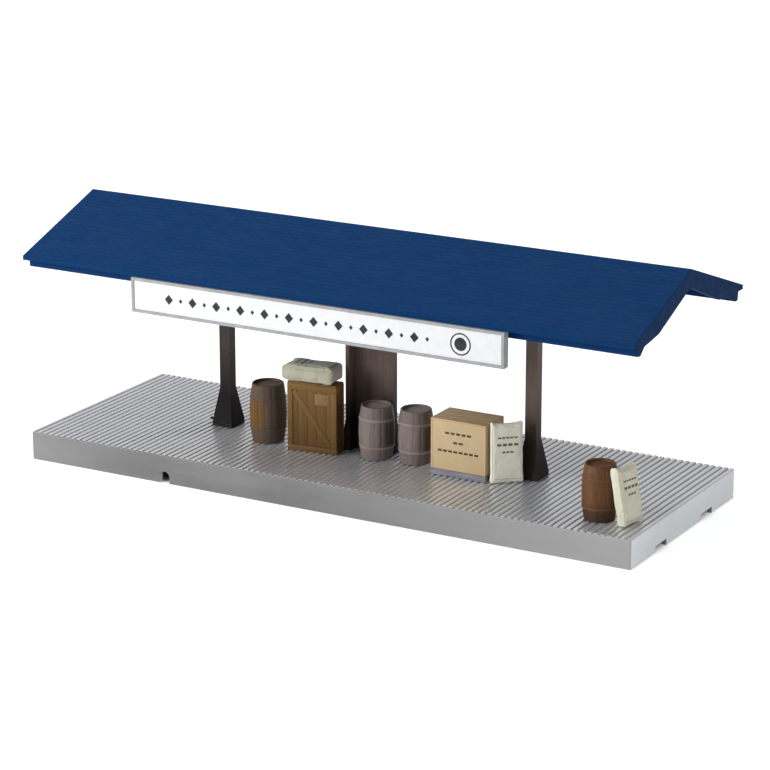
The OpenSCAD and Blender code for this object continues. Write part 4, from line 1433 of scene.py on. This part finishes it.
def twisted(route, offset, phase, pitch):
    """A helix round the route, one turn each pitch."""
    made = []
    travelled = 0.0
    side = Vector((0, 1, 0))
    for i, point in enumerate(route):
        ahead = (route[min(i + 1, len(route) - 1)] - route[max(i - 1, 0)]).normalized()
        if i:
            travelled += (point - route[i - 1]).length
        side = side - ahead * side.dot(ahead)
        side = side.normalized() if side.length > 0.2 else ahead.orthogonal().normalized()
        other = ahead.cross(side)
        angle = phase + 2 * pi * travelled / pitch
        made.append(point + offset * (cos(angle) * side + sin(angle) * other))
    return made


def make_cable():
    """Two insulated wires twisted together along the CAD cable's route, with a drop into each lamp."""
    low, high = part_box("lamp_cable")
    bend = CABLE_BEND
    run_z, foot_z = high.z - CABLE_R, low.z + CABLE_R
    post_x, far_x, out_y = low.x + CABLE_R, high.x - CABLE_R, low.y + CABLE_R
    inner_x = post_x + bend
    left, down, back, top = Vector((-1, 0, 0)), Vector((0, 0, -1)), Vector((0, 1, 0)), Vector((0, 0, 1))
    route = straight(Vector((far_x, 0, run_z)), Vector((inner_x, 0, run_z)), 260)
    route += quarter(Vector((inner_x, 0, run_z - bend)), top, left, bend)
    route += straight(Vector((post_x, 0, run_z - bend)), Vector((post_x, 0, foot_z + bend)), 200)[1:-1]
    route += quarter(Vector((post_x, -bend, foot_z + bend)), back, down, bend)
    route += straight(Vector((post_x, -bend, foot_z)), Vector((post_x, out_y, foot_z)), 80)[1:]
    bm = new_bmesh()
    for phase in (0.0, pi):
        add_tube(bm, twisted(route, WIRE_R, phase, 5.5 * MM), WIRE_R, sides=8)
    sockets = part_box("lamp_sockets")[1]
    lamp_x = sockets.x - sockets.y
    for x in (0.02 * MM - lamp_x, 0.02 * MM + lamp_x):
        drop = straight(Vector((x, 0, run_z)), Vector((x, 0, sockets.z - 1.8 * MM)), 6)
        add_tube(bm, drop, WIRE_R * 1.6, sides=10)
    insulation = moulded_paint("cable_green", (30, 62, 44), (44, 84, 60), roughness=0.42)
    add_object("lamp_wires", bm, insulation, "platform", "cable_green", "lamp_cable", sharp=60)


# ---------------------------------------------------------------- studio

def aim(made, target, azimuth, elevation, distance):
    """Puts an object on an orbit round the target and turns it there. Azimuth 0 is -Y and 90 is +X."""
    a, e = radians(azimuth), radians(elevation)
    back = Vector((sin(a) * cos(e), -cos(a) * cos(e), sin(e)))
    made.location = Vector(target) + back * distance
    made.rotation_mode = "QUATERNION"
    made.rotation_quaternion = (-back).to_track_quat("-Z", "Y")


def add_light(name, size, energy, *orbit):
    """A soft box of this size in metres and energy in watts."""
    data = bpy.data.lights.new(name, "AREA")
    data.shape = "RECTANGLE"
    data.size, data.size_y = size
    data.energy = energy
    aim(put(name, data), *orbit)


def add_camera():
    data = bpy.data.cameras.new("camera")
    data.sensor_width = SENSOR
    data.lens = LENS
    data.clip_start, data.clip_end = 0.01, 50
    camera = put("camera", data)
    aim(camera, VIEW_TARGET, VIEW_AZIMUTH, VIEW_ELEVATION, VIEW_DISTANCE)
    bpy.context.scene.camera = camera


def add_floor():
    bm = bmesh.new()
    bmesh.ops.create_grid(bm, x_segments=2, y_segments=2, size=12)
    floor = object_from("floor", bm)
    floor.location.z = -0.02 * MM
    floor.data.materials.append(floor_paint().material)


def add_world():
    """A white backdrop for the camera that lights the scene softly, and least from the right (+X)."""
    world = bpy.data.worlds.new("studio")
    bpy.context.scene.world = world
    world.use_nodes = True
    tree = world.node_tree
    sky = tree.nodes["Background"]
    sky.inputs["Color"].default_value = (1, 1, 1, 1)
    kinds = ("TexCoord", "SeparateXYZ", "LightPath", "MapRange", "MapRange")
    place, way, ray, side, strength = [tree.nodes.new("ShaderNode" + kind) for kind in kinds]
    for socket, value in zip(side.inputs[1:5], (-0.1, 0.7, AMBIENT, AMBIENT_RIGHT)):
        socket.default_value = value
    strength.inputs["To Max"].default_value = 1.0
    link_all(tree, (place.outputs["Generated"], way.inputs[0]), (way.outputs["X"], side.inputs["Value"]),
             (side.outputs[0], strength.inputs["To Min"]),
             (ray.outputs["Is Camera Ray"], strength.inputs["Value"]),
             (strength.outputs[0], sky.inputs["Strength"]))


def add_studio():
    bpy.context.scene.view_settings.view_transform = "Standard"
    add_world()
    add_light("key", (0.5, 0.4), 8.5, (0, 0, 0.04), -38, 20, 1.2)
    add_light("side", (0.4, 0.25), 1.0, (0.12, 0, 0.02), 92, 9, 0.8)
    add_floor()
    add_camera()


make_platform()
blue = blue_paint()
finish_frame_nodes(blue)
tile_roof(blue)
make_sign_marks()
make_barrels()
make_crate()
make_tan_box()
make_sacks()
make_cable()
add_studio()
